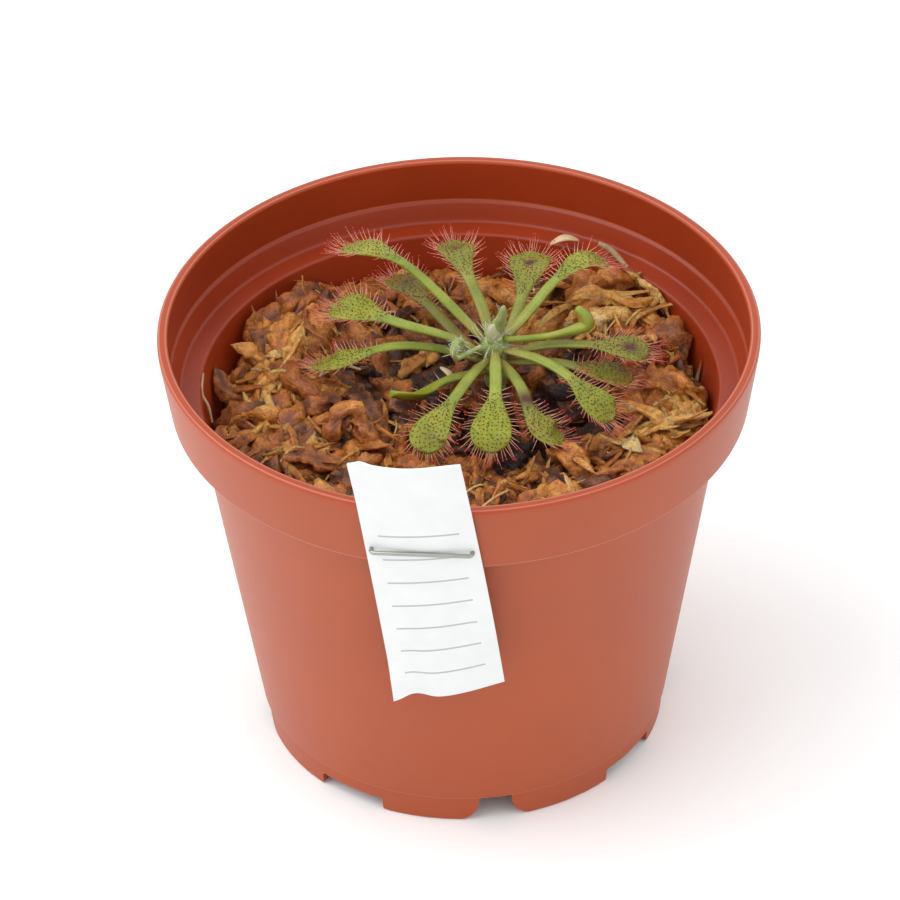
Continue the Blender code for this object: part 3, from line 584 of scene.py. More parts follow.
MOTTLE = mottle_group()


def mottle(tree, coarse, fine):
    """Places the cloudy variation in a material, on Object coordinates."""
    where = tree.nodes.new("ShaderNodeTexCoord").outputs["Object"]
    made = node(tree, "ShaderNodeGroup", {"node_tree": MOTTLE}, Vector=where, Coarse_Scale=coarse,
                Fine_Scale=fine)
    return made.outputs["Coarse"], made.outputs["Fine"], where


def bump(tree, shader, height, strength, distance):
    made = node(tree, "ShaderNodeBump", Strength=strength, Distance=distance, Height=height)
    tree.links.new(made.outputs["Normal"], shader.inputs["Normal"])


def channels(tree, colour):
    return node(tree, "ShaderNodeSeparateColor", Color=colour).outputs


def point_colour(tree, name):
    """A colour kept on the points of a piece."""
    return node(tree, "ShaderNodeAttribute", {"attribute_name": name}).outputs["Color"]


def pot_material(name, light, dark, rough, highlight_heights=(), highlight_radii=()):
    """Satin moulded plastic: faint cloudiness, a few fine scuffs, and paler painted highlight lines along its
    rounded edges at the given heights and radii.
    """
    made, tree, shader = new_material(name)
    coarse, fine, where = mottle(tree, 45.0, 900.0)
    colour = ramp(tree, coarse, ((0.3, dark), (0.7, light)))
    scuff = node(tree, "ShaderNodeTexNoise", Vector=where, Scale=130.0, Detail=8.0, Roughness=0.75)
    scuffs = ramp(tree, scuff.outputs["Fac"], ((0.66, BLACK), (0.74, WHITE)))
    colour = mix(tree, times(tree, scuffs, 0.08), colour, EDGE_HIGHLIGHT_AND_SCUFF)
    side, back, height = node(tree, "ShaderNodeSeparateXYZ", Vector=where).outputs
    back = minus(tree, back, AXIS_Y * MM)
    radius = math_node(tree, "SQRT", plus(tree, times(tree, side, side), times(tree, back, back)))
    # Painted highlight lines along the rounded edges at the given heights and radii.
    for value, levels in ((height, highlight_heights), (radius, highlight_radii)):
        for level in levels:
            colour = mix(tree, times(tree, near(tree, value, level, HIGHLIGHT_LINE_REACH), 0.6), colour, EDGE_HIGHLIGHT_AND_SCUFF)
    roughness = node(tree, "ShaderNodeMapRange", Value=coarse, To_Min=rough - 0.05, To_Max=rough + 0.07)
    set_inputs(tree, shader, Base_Color=colour, Roughness=roughness.outputs[0], Specular_IOR_Level=0.4,
               Subsurface_Weight=0.08, Subsurface_Radius=(1.0, 0.35, 0.2), Subsurface_Scale=0.0010)
    bump(tree, shader, fine, 0.10, 0.00015)
    return made


def moss_material(name, wetness):
    """Damp bleached moss: brown to cream by the tint on its points, which also carries painted shade. It is
    darker in the creases and furrows as painted shade, with darker cells and veins.
    """
    made, tree, shader = new_material(name)
    coarse, fine, where = mottle(tree, 330.0, 2600.0)
    tint, crease_shade, lie = channels(tree, point_colour(tree, "tint"))
    tone = plus(tree, tint, times(tree, minus(tree, coarse, 0.5), 0.5))
    # Painted shade: darker where the second channel marks a crease, furrow or dent.
    tone = minus(tree, tone, times(tree, crease_shade, 0.22))
    colour = ramp(tree, tone, ((0.0, (0.016, 0.005, 0.002)), (0.2, (0.13, 0.036, 0.006)),
                               (0.4, (0.42, 0.125, 0.012)), (0.6, (0.64, 0.255, 0.034)),
                               (0.8, (0.76, 0.43, 0.10)), (1.0, (0.82, 0.62, 0.29))))
    grain = node(tree, "ShaderNodeTexNoise", Vector=where, Scale=1300.0, Detail=4.0, Roughness=0.65,
                 Distortion=0.8).outputs["Fac"]
    grains = ramp(tree, grain, ((0.36, (0.45, 0.34, 0.26)), (0.5, (1.0, 0.95, 0.9)),
                                (0.66, (1.3, 1.3, 1.25))))
    colour = mix(tree, 0.65, colour, mix(tree, 1.0, colour, grains, "MULTIPLY"))
    flow = node(tree, "ShaderNodeCombineXYZ", X=times(tree, crease_shade, 5.0), Y=times(tree, lie, 26.0),
                Z=times(tree, tint, 40.0))
    streak = node(tree, "ShaderNodeTexNoise", Vector=flow.outputs[0], Scale=1.0, Detail=3.0,
                  Roughness=0.6).outputs["Fac"]
    streaks = ramp(tree, streak, ((0.35, (0.62, 0.50, 0.40)), (0.6, (1.1, 1.06, 1.0))))
    colour = mix(tree, 0.6, colour, mix(tree, 1.0, colour, streaks, "MULTIPLY"))
    set_inputs(tree, shader, Base_Color=colour, Roughness=0.5, Coat_Weight=wetness, Coat_Roughness=0.18,
               Subsurface_Weight=0.35, Subsurface_Radius=(1.0, 0.40, 0.12), Subsurface_Scale=0.0012)
    relief = plus(tree, fine, times(tree, streak, 1.2))
    relief = plus(tree, relief, times(tree, grain, 2.2))
    bump(tree, shader, relief, 0.8, 0.0003)
    return made


def leaf_material(name):
    """Leaf skin: green to olive by age, regular dark-red gland dots, a tan root and browned places."""
    made, tree, shader = new_material(name)
    coarse, fine, _ = mottle(tree, 420.0, 3200.0)
    age, blade, upper = channels(tree, point_colour(tree, "tint"))
    lie = point_colour(tree, "lie")
    from_root, _, browning = channels(tree, lie)
    fresh = mix(tree, blade, (0.250, 0.315, 0.042), (0.250, 0.290, 0.016))
    old = mix(tree, blade, (0.20, 0.165, 0.040), (0.16, 0.165, 0.022))
    cloud = ramp(tree, coarse, ((0.35, (0.80, 0.86, 0.7)), (0.65, (1.15, 1.10, 1.15))))
    colour = mix(tree, 1.0, mix(tree, age, fresh, old), cloud, "MULTIPLY")
    blush = times(tree, times(tree, blade, age), ramp(tree, coarse, ((0.45, BLACK), (0.7, WHITE))))
    colour = mix(tree, times(tree, blush, 0.7), colour, (0.20, 0.045, 0.02))
    root = node(tree, "ShaderNodeMapRange", Value=from_root, From_Min=LIE_START + 1.0,
                From_Max=LIE_START + 6.0, To_Min=0.65, To_Max=0.0)
    colour = mix(tree, root.outputs[0], colour, (0.40, 0.31, 0.09))
    dots = node(tree, "ShaderNodeTexVoronoi", {"voronoi_dimensions": "2D"}, Vector=lie, Scale=1.75,
                Randomness=0.45)
    dot = ramp(tree, dots.outputs["Distance"], ((0.15, WHITE), (0.24, BLACK)))
    spread = math_node(tree, "MINIMUM", plus(tree, blade, 0.3), 1.0)
    dotted = times(tree, times(tree, dot, upper), spread)
    colour = mix(tree, times(tree, dotted, 0.9), colour, (0.13, 0.014, 0.010))
    patchy = ramp(tree, coarse, ((0.3, (0.5, 0.5, 0.5)), (0.55, WHITE)))
    colour = mix(tree, times(tree, browning, patchy), colour, (0.075, 0.022, 0.010))
    set_inputs(tree, shader, Base_Color=colour, Roughness=0.42, Specular_IOR_Level=0.35, Coat_Weight=0.05,
               Coat_Roughness=0.2, Subsurface_Weight=0.2, Subsurface_Radius=(0.6, 1.0, 0.15),
               Subsurface_Scale=0.0006)
    bump(tree, shader, fine, 0.35, 0.00012)
    return made


def tentacle_material():
    """Tentacles: a green root, a pale stalk that reddens, and a crimson gland, darker on the face."""
    made, tree, shader = new_material("tentacle")
    along, hue, face = channels(tree, point_colour(tree, "tint"))
    stalk = mix(tree, hue, (0.76, 0.46, 0.30), (0.68, 0.17, 0.10))
    stalk = mix(tree, ramp(tree, along, ((0.0, WHITE), (0.3, BLACK))), stalk, (0.52, 0.42, 0.12))
    gland = mix(tree, face, (0.52, 0.022, 0.022), (0.15, 0.010, 0.010))
    reddening = ramp(tree, along, ((0.0, BLACK), (0.78, (0.35, 0.35, 0.35)), (0.9, WHITE)))
    set_inputs(tree, shader, Base_Color=mix(tree, reddening, stalk, gland), Roughness=0.3, Coat_Weight=0.5,
               Coat_Roughness=0.08, Subsurface_Weight=0.3, Subsurface_Radius=(1.0, 0.3, 0.2),
               Subsurface_Scale=0.0005)
    return made


def young_material():
    """Young growth: pale green to cream, with a silvery bloom."""
    made, tree, shader = new_material("young_growth")
    coarse, fine, _ = mottle(tree, 600.0, 4000.0)
    cream = channels(tree, point_colour(tree, "tint"))[0]
    green = ramp(tree, coarse, ((0.3, (0.17, 0.25, 0.05)), (0.55, (0.33, 0.40, 0.13)),
                                (0.75, (0.54, 0.56, 0.32))))
    set_inputs(tree, shader, Base_Color=mix(tree, cream, green, (0.48, 0.48, 0.29)), Roughness=0.5,
               Subsurface_Weight=0.2, Subsurface_Radius=(0.6, 1.0, 0.2), Subsurface_Scale=0.0006)
    bump(tree, shader, fine, 0.4, 0.0001)
    return made


def plain_material(name, colour, roughness, metallic=0.0, mottled=0.12):
    """A small piece's finish: one colour, gently clouded."""
    made, tree, shader = new_material(name)
    coarse, fine, _ = mottle(tree, 500.0, 3000.0)
    darker = tuple(channel * (1 - mottled) for channel in colour)
    lighter = tuple(min(1.0, channel * (1 + mottled)) for channel in colour)
    clouded = ramp(tree, coarse, ((0.3, darker), (0.7, lighter)))
    set_inputs(tree, shader, Base_Color=clouded, Roughness=roughness, Metallic=metallic)
    bump(tree, shader, fine, 0.15, 0.00005)
    return made


def label_material():
    """White coated card with a few plain ruled lines, drawn from the card's own UV map."""
    made, tree, shader = new_material("label_card")
    coarse, fine, _ = mottle(tree, 300.0, 5000.0)
    uv = node(tree, "ShaderNodeUVMap", {"uv_map": "UVMap"})
    across, along, _ = node(tree, "ShaderNodeSeparateXYZ", Vector=uv.outputs[0]).outputs
    row = math_node(tree, "FRACT", times(tree, along, RULED_ROWS))
    line = math_node(tree, "LESS_THAN", row, RULED_WEIGHT)
    ink = times(tree, line, between(tree, across, *RULED_ACROSS))
    ink = times(tree, ink, between(tree, along, *RULED_ALONG))
    paper = ramp(tree, coarse, ((0.3, (0.68, 0.69, 0.69)), (0.7, (0.72, 0.725, 0.72))))
    ruled = mix(tree, times(tree, ink, 0.75), paper, (0.30, 0.31, 0.32))
    set_inputs(tree, shader, Base_Color=ruled, Roughness=0.45)
    bump(tree, shader, fine, 0.06, 0.00005)
    return made


# Pot

def pot_profile():
    """The wall and floor as (radius, height, rounding), outside from the lip round to the inside."""
    lip_inner = RIM_RADIUS - LIP_WALL
    return (
        (RIM_RADIUS, RIM_HEIGHT, 0.55), (RIM_RADIUS - 0.12, RIM_HEIGHT - 1.15, 0.1),
        (COLLAR_BOTTOM_RADIUS, SHOULDER, 0.22),
        (BODY_TOP_RADIUS, SHOULDER, 0.1),
        (BASE_RADIUS, BASE_EDGE, 0.3), (BASE_RADIUS - 0.3, BASE_EDGE - 0.12, 0.1),
        (FOOT_RADIUS, 0.0, 0.3), (FOOT_RADIUS - WALL, 0.0, 0.2),
        (BASE_RADIUS - WALL - 0.3, FLOOR_UNDER, 0.2),
        (DRAIN_RADIUS, FLOOR_UNDER, 0.15), (DRAIN_RADIUS, FLOOR_TOP, 0.15),
        (BASE_RADIUS - WALL, FLOOR_TOP, 0.8),
        (BODY_TOP_RADIUS - WALL + 0.1, SHOULDER + 0.8, 0.4),
        (COLLAR_BOTTOM_RADIUS - 1.2, SHOULDER + 0.9, 0.35),
        (COLLAR_BOTTOM_RADIUS - 0.85, SHOULDER + 1.9, 0.2),
        (lip_inner - 0.35, RIM_HEIGHT - 6.2, 0.12), (lip_inner, RIM_HEIGHT - 5.9, 0.15),
        (lip_inner, RIM_HEIGHT, 0.4),
    )


def rounded(profile):
    """Replaces each corner of a closed profile with a short arc of its own radius."""
    points = []
    for index, (radius, height, rounding) in enumerate(profile):
        corner = Vector((radius, height))
        before = Vector(profile[index - 1][:2]) - corner
        after = Vector(profile[(index + 1) % len(profile)][:2]) - corner
        reach = min(rounding, 0.45 * before.length, 0.45 * after.length)
        start, end = corner + before.normalized() * reach, corner + after.normalized() * reach
        for step in range(CORNER_STEPS + 1):
            t = step / CORNER_STEPS
            points.append((1 - t) ** 2 * start + 2 * t * (1 - t) * corner + t * t * end)
    return points


def foot_cutter(angle, width, top, flare):
    """A prism across the foot ring, with rounded upper corners and a lower edge that flares out."""
    half = width / 2
    turns = [math.radians(15 * step) for step in range(7)]
    outline = [(half + flare, -1.0)]
    outline += [(half + flare * (1 - math.sin(turn)), min(flare, top - 0.5) * (1 - math.cos(turn)))
                for turn in turns]
    outline += [(half, top - 0.4), (half - 0.12, top - 0.12), (half - 0.4, top)]
    outline += [(-side, height) for side, height in reversed(outline)]
    mesh = bpy.data.meshes.new("foot_cutter")
    mesh.from_pydata([(side * MM, -CUTTER_DEPTH / 2 * MM, height * MM) for side, height in outline], [],
                     [tuple(reversed(range(len(outline))))])
    made = linked("foot_cutter", mesh)
    activate(made)
    bpy.ops.object.mode_set(mode="EDIT")
    bpy.ops.mesh.select_all(action="SELECT")
    bpy.ops.mesh.extrude_region_move(TRANSFORM_OT_translate={"value": (0, CUTTER_DEPTH * MM, 0)})
    bpy.ops.object.mode_set(mode="OBJECT")
    face_outwards(made)
    made.rotation_euler = (0, 0, math.radians(angle))
    made.location = place(around(angle, FOOT_RADIUS - WALL / 2, 0))
    return made


def drain_cutter(angle):
    spot = around(angle, SIDE_DRAIN_PLACE, FLOOR_UNDER + 0.5)
    bpy.ops.mesh.primitive_cylinder_add(vertices=DRAIN_SIDES, radius=SIDE_DRAIN_RADIUS * MM, depth=4 * MM,
                                        location=place(spot))
    return bpy.context.object


def turn_profile(name, outline):
    """Turns a closed outline of radius and height round the pot's axis."""
    mesh = bpy.data.meshes.new(name)
    count = len(outline)
    mesh.from_pydata([(point.x * MM, 0, point.y * MM) for point in outline],
                     [(index, (index + 1) % count) for index in range(count)], [])
    made = linked(name, mesh)
    turn = made.modifiers.new("turn", "SCREW")
    turn.steps = turn.render_steps = POT_STEPS
    turn.use_merge_vertices = True
    turn.merge_threshold = 1e-6
    apply_modifier(made, turn)
    made.location = place((0, 0, 0))
    bpy.ops.object.transform_apply(location=True, rotation=False, scale=False)
    face_outwards(made)
    return made


def cut_away(made, cutters):
    """Cuts a group of solids out of a piece, and removes them."""
    group = bpy.data.collections.new("pot_cutters")
    bpy.context.scene.collection.children.link(group)
    for cutter in cutters:
        for owner in list(cutter.users_collection):
            owner.objects.unlink(cutter)
        group.objects.link(cutter)
    cut = made.modifiers.new("feet_and_drains", "BOOLEAN")
    cut.operation = "DIFFERENCE"
    cut.operand_type = "COLLECTION"
    cut.collection = group
    cut.solver = "EXACT"
    apply_modifier(made, cut)
    for cutter in cutters:
        bpy.data.objects.remove(cutter, do_unlink=True)
    bpy.data.collections.remove(group)


def pot_painted_light_slot(centre):
    """Which of the pot's three copies of its plastic a face takes: 0 outside, 1 the darker inside, which is
    painted shade, and 2 the lip, whose more saturated orange is painted light glowing through the thin rim.
    """
    radius = math.hypot(centre.x, centre.y - AXIS_Y * MM) / MM
    height = centre.z / MM
    wall = float(np.interp(height, (0, BASE_EDGE, SHOULDER, SHOULDER + 0.6, RIM_HEIGHT),
                           (FOOT_RADIUS, BASE_RADIUS, BODY_TOP_RADIUS, COLLAR_BOTTOM_RADIUS, RIM_RADIUS)))
    if height > RIM_HEIGHT - LIP_BAND:
        return 2
    return 1 if radius < wall - INSIDE_DEPTH and height > FLOOR_TOP - 0.2 else 0


def make_pot():
    # One plastic in three copies: the darker inside is painted shade, and the lip's more saturated orange is
    # painted light glowing through the thin rim.
    outside = pot_material("pot_plastic_outside", POT_LIGHT, POT_DARK, 0.42, highlight_heights=HIGHLIGHT_LINE_HEIGHTS)
    inside = pot_material("pot_plastic_inside_painted_shade", SHADED_INSIDE_LIGHT, SHADED_INSIDE_DARK, 0.36)
    lip = pot_material("pot_plastic_lip_painted_light", LIT_LIP_LIGHT, LIT_LIP_DARK, 0.32, highlight_radii=HIGHLIGHT_LINE_RADII)
    made = turn_profile("pot_shell", rounded(pot_profile()))
    cutters = []
    for turn in range(FOOT_TURNS):
        start_angle = 360 * turn / FOOT_TURNS
        cutters += [foot_cutter(start_angle + angle, *sizes) for angle, *sizes in NOTCHES]
        cutters.append(drain_cutter(start_angle + 45))
    cut_away(made, cutters)
    made.data.materials.clear()
    for finish in (outside, inside, lip):
        made.data.materials.append(finish)
    for face in made.data.polygons:
        face.material_index = pot_painted_light_slot(face.center)
    activate(made)
    bpy.ops.object.shade_smooth_by_angle(angle=math.radians(POT_CREASE))
    declare(made, "pot")


# Leaves

def leaf_width(from_tip, blade_length, blade_width):
    """A spoon-shaped outline: a round tip, widest near it, drawn in to the stalk."""
    widest = 0.29 * blade_length
    if from_tip <= widest:
        return max(0.25, blade_width * math.sqrt(max(0.0, 1 - (1 - from_tip / widest) ** 2)))
    fall = min(1.0, (from_tip - widest) / (0.78 * blade_length))
    return blade_width + (PETIOLE_WIDTH - blade_width) * fall * fall * (3 - 2 * fall)


class Leaf:
    """One leaf's midrib, its ways across and up, and its outline."""

    def __init__(self, number, tier, points, lean, blade):
        self.number = number
        self.name = f"leaf_{number:02d}"
        self.lean = lean
        first = Vector(points[0])
        heading = Vector((first.x, first.y, 0)).normalized()
        base = heading * (STEM_RADIUS - 0.15) - Vector((0, 0, TIER_DROPS[tier]))
        knots = [CROWN + base] + [CROWN + Vector(point) for point in points]
        self.path = smooth_curve(knots, MIDRIB_POINTS)
        self.length = curve_through(knots)[1][-1]
        self.blade_length, self.blade_width = blade
        self.age = LEAF_AGE[number - 1]
        self.sparse = number == EDGE_ON_LEAF
        self.draw = random.Random(LEAF_SEED + number)

    def at(self, share):
        """The midrib's point and its ways ahead, across and up, at a share of the length."""
        last = len(self.path) - 1
        index = min(int(share * last), last - 1)
        point = self.path[index].lerp(self.path[index + 1], share * last - index)
        ahead = (self.path[min(index + 3, last)] - self.path[max(index - 2, 0)]).normalized()
        ease = clamp((share - 0.3) / 0.4)
        up = Vector((self.lean[0] * ease, self.lean[1] * ease, 1.0))
        up = (up - ahead * up.dot(ahead)).normalized()
        return point, ahead, ahead.cross(up), up

    def width(self, share):
        full = leaf_width((1 - share) * self.length, self.blade_length, self.blade_width)
        if share >= ROOT_SHARE:
            return full
        return min(full, PETIOLE_ROOT_WIDTH + (PETIOLE_WIDTH - PETIOLE_ROOT_WIDTH) * share / ROOT_SHARE)

    def bladeness(self, share):
        """0 on the stalk, 1 on the blade."""
        return clamp((self.width(share) - PETIOLE_WIDTH) / (0.6 * (self.blade_width - PETIOLE_WIDTH)))

    def rise(self, share):
        """How far the blade's margin stands above its midrib."""
        return BLADE_CUP * max(0.0, self.width(share) - PETIOLE_WIDTH)

    def surface(self, share, across_share):
        """A point on the upper face, the ways up, across and ahead, and half the thickness there."""
        point, ahead, across, up = self.at(share)
        blade = self.bladeness(share)
        wave = 0.12 * blade * noise(Vector((share * 7, across_share * 1.6, self.number * 3.1)))
        lift = self.rise(share) * across_share ** 2 + wave
        spot = point + across * (self.width(share) / 2 * across_share) + up * lift
        thickness = PETIOLE_THICKNESS + (BLADE_THICKNESS - PETIOLE_THICKNESS) * blade
        half_thick = thickness / 2 * math.sqrt(max(0.04, 1 - across_share ** 2 * 0.96))
        return spot + up * half_thick, up, across, ahead, half_thick

    def ring(self, share):
        """The section of the leaf: a soft grooved upper face and a rounder keeled lower face."""
        ring = []
        for index in range(2 * HALF_SIDES):
            across_share = -math.cos(math.pi * index / HALF_SIDES)
            spot, up, _, _, half_thick = self.surface(share, across_share)
            if index <= HALF_SIDES:
                down = BLADE_GROOVE * self.bladeness(share) * math.exp(-(across_share / 0.28) ** 2)
            else:
                down = 2 * half_thick + LEAF_KEEL * math.exp(-(across_share / 0.35) ** 2)
            ring.append(spot - up * down)
        return ring

    def body(self, shape):
        """Skins the leaf; gives back each point's place along and across it, and its browning."""
        evenly = [index / (LEAF_STATIONS - 1) for index in range(LEAF_STATIONS)]
        shares = [0.999 * math.sin(0.5 * math.pi * share ** 0.8) for share in evenly]
        point, ahead, _, up = self.at(1.0)
        shape.rings([self.ring(share) for share in shares],
                    [(self.age, self.bladeness(share), 0.0, 1.0) for share in shares],
                    tip=point + ahead * 0.1 + up * 0.05)
        lie = []
        centre, reach, strength = BROWNED.get(self.number, (0.0, 1.0, 0.0))
        for row, share in enumerate(shares):
            for side in range(2 * HALF_SIDES):
                aside = -self.width(share) / 2 * math.cos(math.pi * side / HALF_SIDES)
                away = math.hypot((1 - share) * self.length - centre, aside) / reach
                browning = strength * math.exp(-away * away)
                lie.append((LIE_START + share * self.length, LIE_START + aside, browning, 1.0))
                if 1 <= side < HALF_SIDES:
                    shape.colours[row * 2 * HALF_SIDES + side] = (self.age, self.bladeness(share), 1.0, 1.0)
        return lie + [lie[-1]] * (len(shape.points) - len(lie))

    def margin_tentacles(self, shape):
        """Long tentacles round the margin."""
        for index in range(MARGIN_HAIRS):
            if self.sparse and (index % 6 or 0.2 < index / MARGIN_HAIRS < 0.8):
                continue
            turn = math.pi * (index + self.draw.uniform(0.3, 0.7)) / MARGIN_HAIRS
            side, along = math.cos(turn), math.sin(turn)
            from_tip = 1.12 * self.blade_length * (1 - along) ** 1.1
            share = clamp(1 - from_tip / self.length, 0.25, 0.995)
            point, ahead, across, up = self.at(share)
            reach = math.copysign(min(1.0, abs(side) * 3.0), side)
            root = point + across * (reach * max(0.0, self.width(share) / 2 - 0.1)) + up * self.rise(share)
            stray = jitter(self.draw, 0.2)
            way = across * side + ahead * (along ** 1.3 - 0.05) + up * self.draw.uniform(0.0, 0.6) + stray
            length = MARGIN_HAIR_LENGTH * (0.55 + 0.45 * along) * self.draw.uniform(0.65, 1.15)
            self.tentacle(shape, root, way.normalized(), up, length, MARGIN_GIRTHS, 0.15 + 0.75 * along)

    def face_tentacles(self, shape):
        """Short tentacles over the upper face, longer near its edge."""
        for index in range(FACE_HAIRS):
            deep = (index + self.draw.random()) / FACE_HAIRS
            share = clamp(1 - deep * self.blade_length / self.length, 0.25, 0.985)
            across_share = self.draw.uniform(-0.9, 0.9)
            spot, up, across, ahead, _ = self.surface(share, across_share)
            edge = max(abs(across_share), 1 - 1.6 * deep)
            way = up + across * (0.7 * across_share) + ahead * (0.3 - 0.4 * deep) + jitter(self.draw, 0.15)
            length = (0.16 + 0.8 * max(0.0, edge) ** 5) * self.draw.uniform(0.8, 1.2)
            self.tentacle(shape, spot - up * 0.06, way.normalized(), up, length, FACE_GIRTHS, 0.6, 1.0)

    def tentacle(self, shape, root, way, up, length, girths, redness, on_face=0.0):
        """A curved stalk and its swollen gland, of the given girths."""
        foot, gland = girths
        curl = self.draw.uniform(-0.08, 0.28)
        hue = min(1.0, redness * self.draw.uniform(0.5, 1.0) + 0.2 * self.age)
        bend = (up - way * up.dot(way)) * curl
        neck = length - 1.7 * gland
        path = [root + way * (neck * share) + bend * (neck * share * share)
                for share in (0.0, 0.35, 0.7, 1.0)]
        finish = (path[-1] - path[-2]).normalized()
        path += [path[3] + finish * (reach * gland) for reach in (0.35, 1.1, 1.8)]
        radii = (foot, foot * 0.78, foot * 0.6, foot * 0.55, gland * 0.8, gland, gland * 0.6)
        alongs = (0.0, 0.35, 0.7, 0.9, 1.0, 1.0, 1.0)
        shape.rings(tube_rings(path, radii, TENTACLE_SIDES), [(along, hue, on_face, 1.0) for along in alongs],
                    tip=path[-1] + finish * (0.4 * gland))


def all_leaves():
    return [Leaf(number, *spec) for number, spec in enumerate(LEAVES, 1)]


def make_leaves(skin, tentacle):
    for leaf in all_leaves():
        blade = Shape()
        lie = leaf.body(blade)
        body = blade.make(f"{leaf.name}_blade", skin)
        colour_points(body, "lie", lie)
        declare(body, leaf.name)
        hairs = Shape()
        leaf.margin_tentacles(hairs)
        if not leaf.sparse:
            leaf.face_tentacles(hairs)
        declare(hairs.make(f"{leaf.name}_tentacles", tentacle))


# Crown and young growth

def silky_hair(shape, draw, root, way, length):
    side = way.orthogonal().normalized()
    side.rotate(Quaternion(way, draw.uniform(0, 2 * math.pi)))
    path = [root + way * (length * share) + side * (0.35 * length * share * share)
            for share in (0, 0.35, 0.7, 1.0)]
    shape.rings(tube_rings(path, (0.045, 0.035, 0.025, 0.012), 4), [(0.0, 0.0, 0.0, 1.0)] * len(path))


def beyond(path, reach):
    """A point a little past the end of a path, to close a tube with."""
    return path[-1] + (path[-1] - path[-2]).normalized() * reach


def bud_radius(girth, index):
    """A bud's radius at a station: swollen in the middle, and drawn in at the last one."""
    swell = 0.75 + 0.4 * math.sin(math.pi * min(1.0, index / (BUD_STATIONS - 2)) ** 1.6)
    return girth * swell * (0.55 if index == BUD_STATIONS - 1 else 1)


def make_crown(young, silk):
    draw = random.Random(CROWN_SEED)
    shape, hairs = Shape(), Shape()
    path = [Vector((CROWN.x, CROWN.y, height)) for height in STEM_HEIGHTS]
    shape.rings(tube_rings(path, STEM_RADII, STEM_SIDES), [(0.1, 0.0, 0.0, 1.0)] * len(path),
                tip=path[-1] + UP * 0.25)
    for turn, lean, height, girth, cream in BUDS:
        side = around(turn, 1.0, 0.0)
        foot = Vector((CROWN.x, CROWN.y, CROWN.z - 0.6)) + side * 0.35
        rises = ((0.35, 0.5), (0.75, 0.85), (0.9, 1.0))
        curve = smooth_curve([foot] + [foot + side * (out * lean) + Vector((0, 0, height * share))
                                       for out, share in rises], BUD_STATIONS)
        radii = [bud_radius(girth, index) for index in range(BUD_STATIONS)]
        rings = tube_rings(curve, radii, BUD_SIDES, squash=0.72, up=side)
        shape.rings(rings, [(cream, 0.0, 0.0, 1.0)] * BUD_STATIONS, tip=beyond(curve, 0.25))
        for _ in range(BUD_HAIRS):
            spot = curve[draw.randrange(3, BUD_STATIONS - 1)]
            way = Vector((draw.uniform(-1, 1), draw.uniform(-1, 1), draw.uniform(0.2, 1.2))).normalized()
            silky_hair(hairs, draw, spot + way * 0.35, way, draw.uniform(0.8, 1.7))
    for _ in range(CROWN_HAIRS):
        turn = draw.uniform(0, 360)
        spot = Vector((CROWN.x, CROWN.y, CROWN.z + draw.uniform(-1.6, 0.6))) + around(turn, 1.35, 0)
        way = around(turn, 1.0, draw.uniform(-0.1, 1.1)).normalized()
        silky_hair(hairs, draw, spot, way, draw.uniform(1.0, 2.6))
    declare(shape.make("crown_bud", young), "crown")
    declare(hairs.make("crown_hairs", silk))


def make_young_leaf(skin):
    path = smooth_curve([CROWN + Vector(point) for point in (YOUNG_ROOT,) + YOUNG_LEAF], YOUNG_STATIONS)
    shape = Shape()
    rings = tube_rings(path, graded(YOUNG_RADII, YOUNG_STATIONS), YOUNG_SIDES, squash=0.82, up=UP)
    shape.rings(rings, [(0.1, 0.25, 0.0, 1.0)] * YOUNG_STATIONS, tip=beyond(path, 0.2))
    made = shape.make("young_leaf_stalk", skin)
    colour_points(made, "lie", [(LIE_START + 10.0, LIE_START, 0.0, 1.0)] * len(shape.points))
    declare(made, "young_leaf")


def coil_path():
    """A stalk that rises from the crown and rolls up at its end."""
    root = CROWN + Vector(COIL_ROOT)
    centre = CROWN + Vector(COIL_CENTRE)
    outward = Vector((COIL_CENTRE[0] - COIL_ROOT[0], COIL_CENTRE[1] - COIL_ROOT[1], 0)).normalized()
    points = [root]
    for step in range(COIL_STEPS):
        turn = math.radians(COIL_START + COIL_STEP * step)
        reach = COIL_RADIUS * (1 - COIL_SHRINK * step)
        points.append(centre + outward * (reach * math.cos(turn)) + Vector((0, 0, reach * math.sin(turn)))
                      + outward.cross(UP) * (COIL_DRIFT * step))
    return points


def make_coiled_leaf(young, silk):
    draw = random.Random(COIL_SEED)
    path = smooth_curve(coil_path(), COIL_STATIONS)
    shape, hairs = Shape(), Shape()
    radii = [0.36 + 0.16 * min(1.0, index / 25) for index in range(COIL_STATIONS)]
    shape.rings(tube_rings(path, radii, COIL_SIDES, squash=0.8), [(0.1, 0.0, 0.0, 1.0)] * COIL_STATIONS)
    for _ in range(COIL_HAIRS):
        spot = path[draw.randrange(8, COIL_STATIONS - 2)]
        way = Vector((draw.uniform(-1, 1), draw.uniform(-1, 0.6), draw.uniform(-0.3, 1))).normalized()
        silky_hair(hairs, draw, spot + way * 0.3, way, draw.uniform(0.5, 1.3))
    declare(shape.make("coiled_leaf_roll", young), "coiled_leaf")
    declare(hairs.make("coiled_leaf_hairs", silk))


# Moss

def heaps(table, x, y):
    """The sum of soft round heaps at a place."""
    total = 0.0
    for centre_x, centre_y, reach, amount in table:
        total += amount * math.exp(-((x - centre_x) ** 2 + (y - centre_y) ** 2) / (reach * reach))
    return total


def moss_height(x, y):
    """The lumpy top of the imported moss, before its folds and hollows."""
    return (MOSS_LEVEL + 0.35 * math.sin(0.41 * x + 1.3) * math.cos(0.36 * y)
            + 0.35 * math.sin(0.83 * x - 0.62 * y + 0.5) + heaps(MOUNDS, x, y))


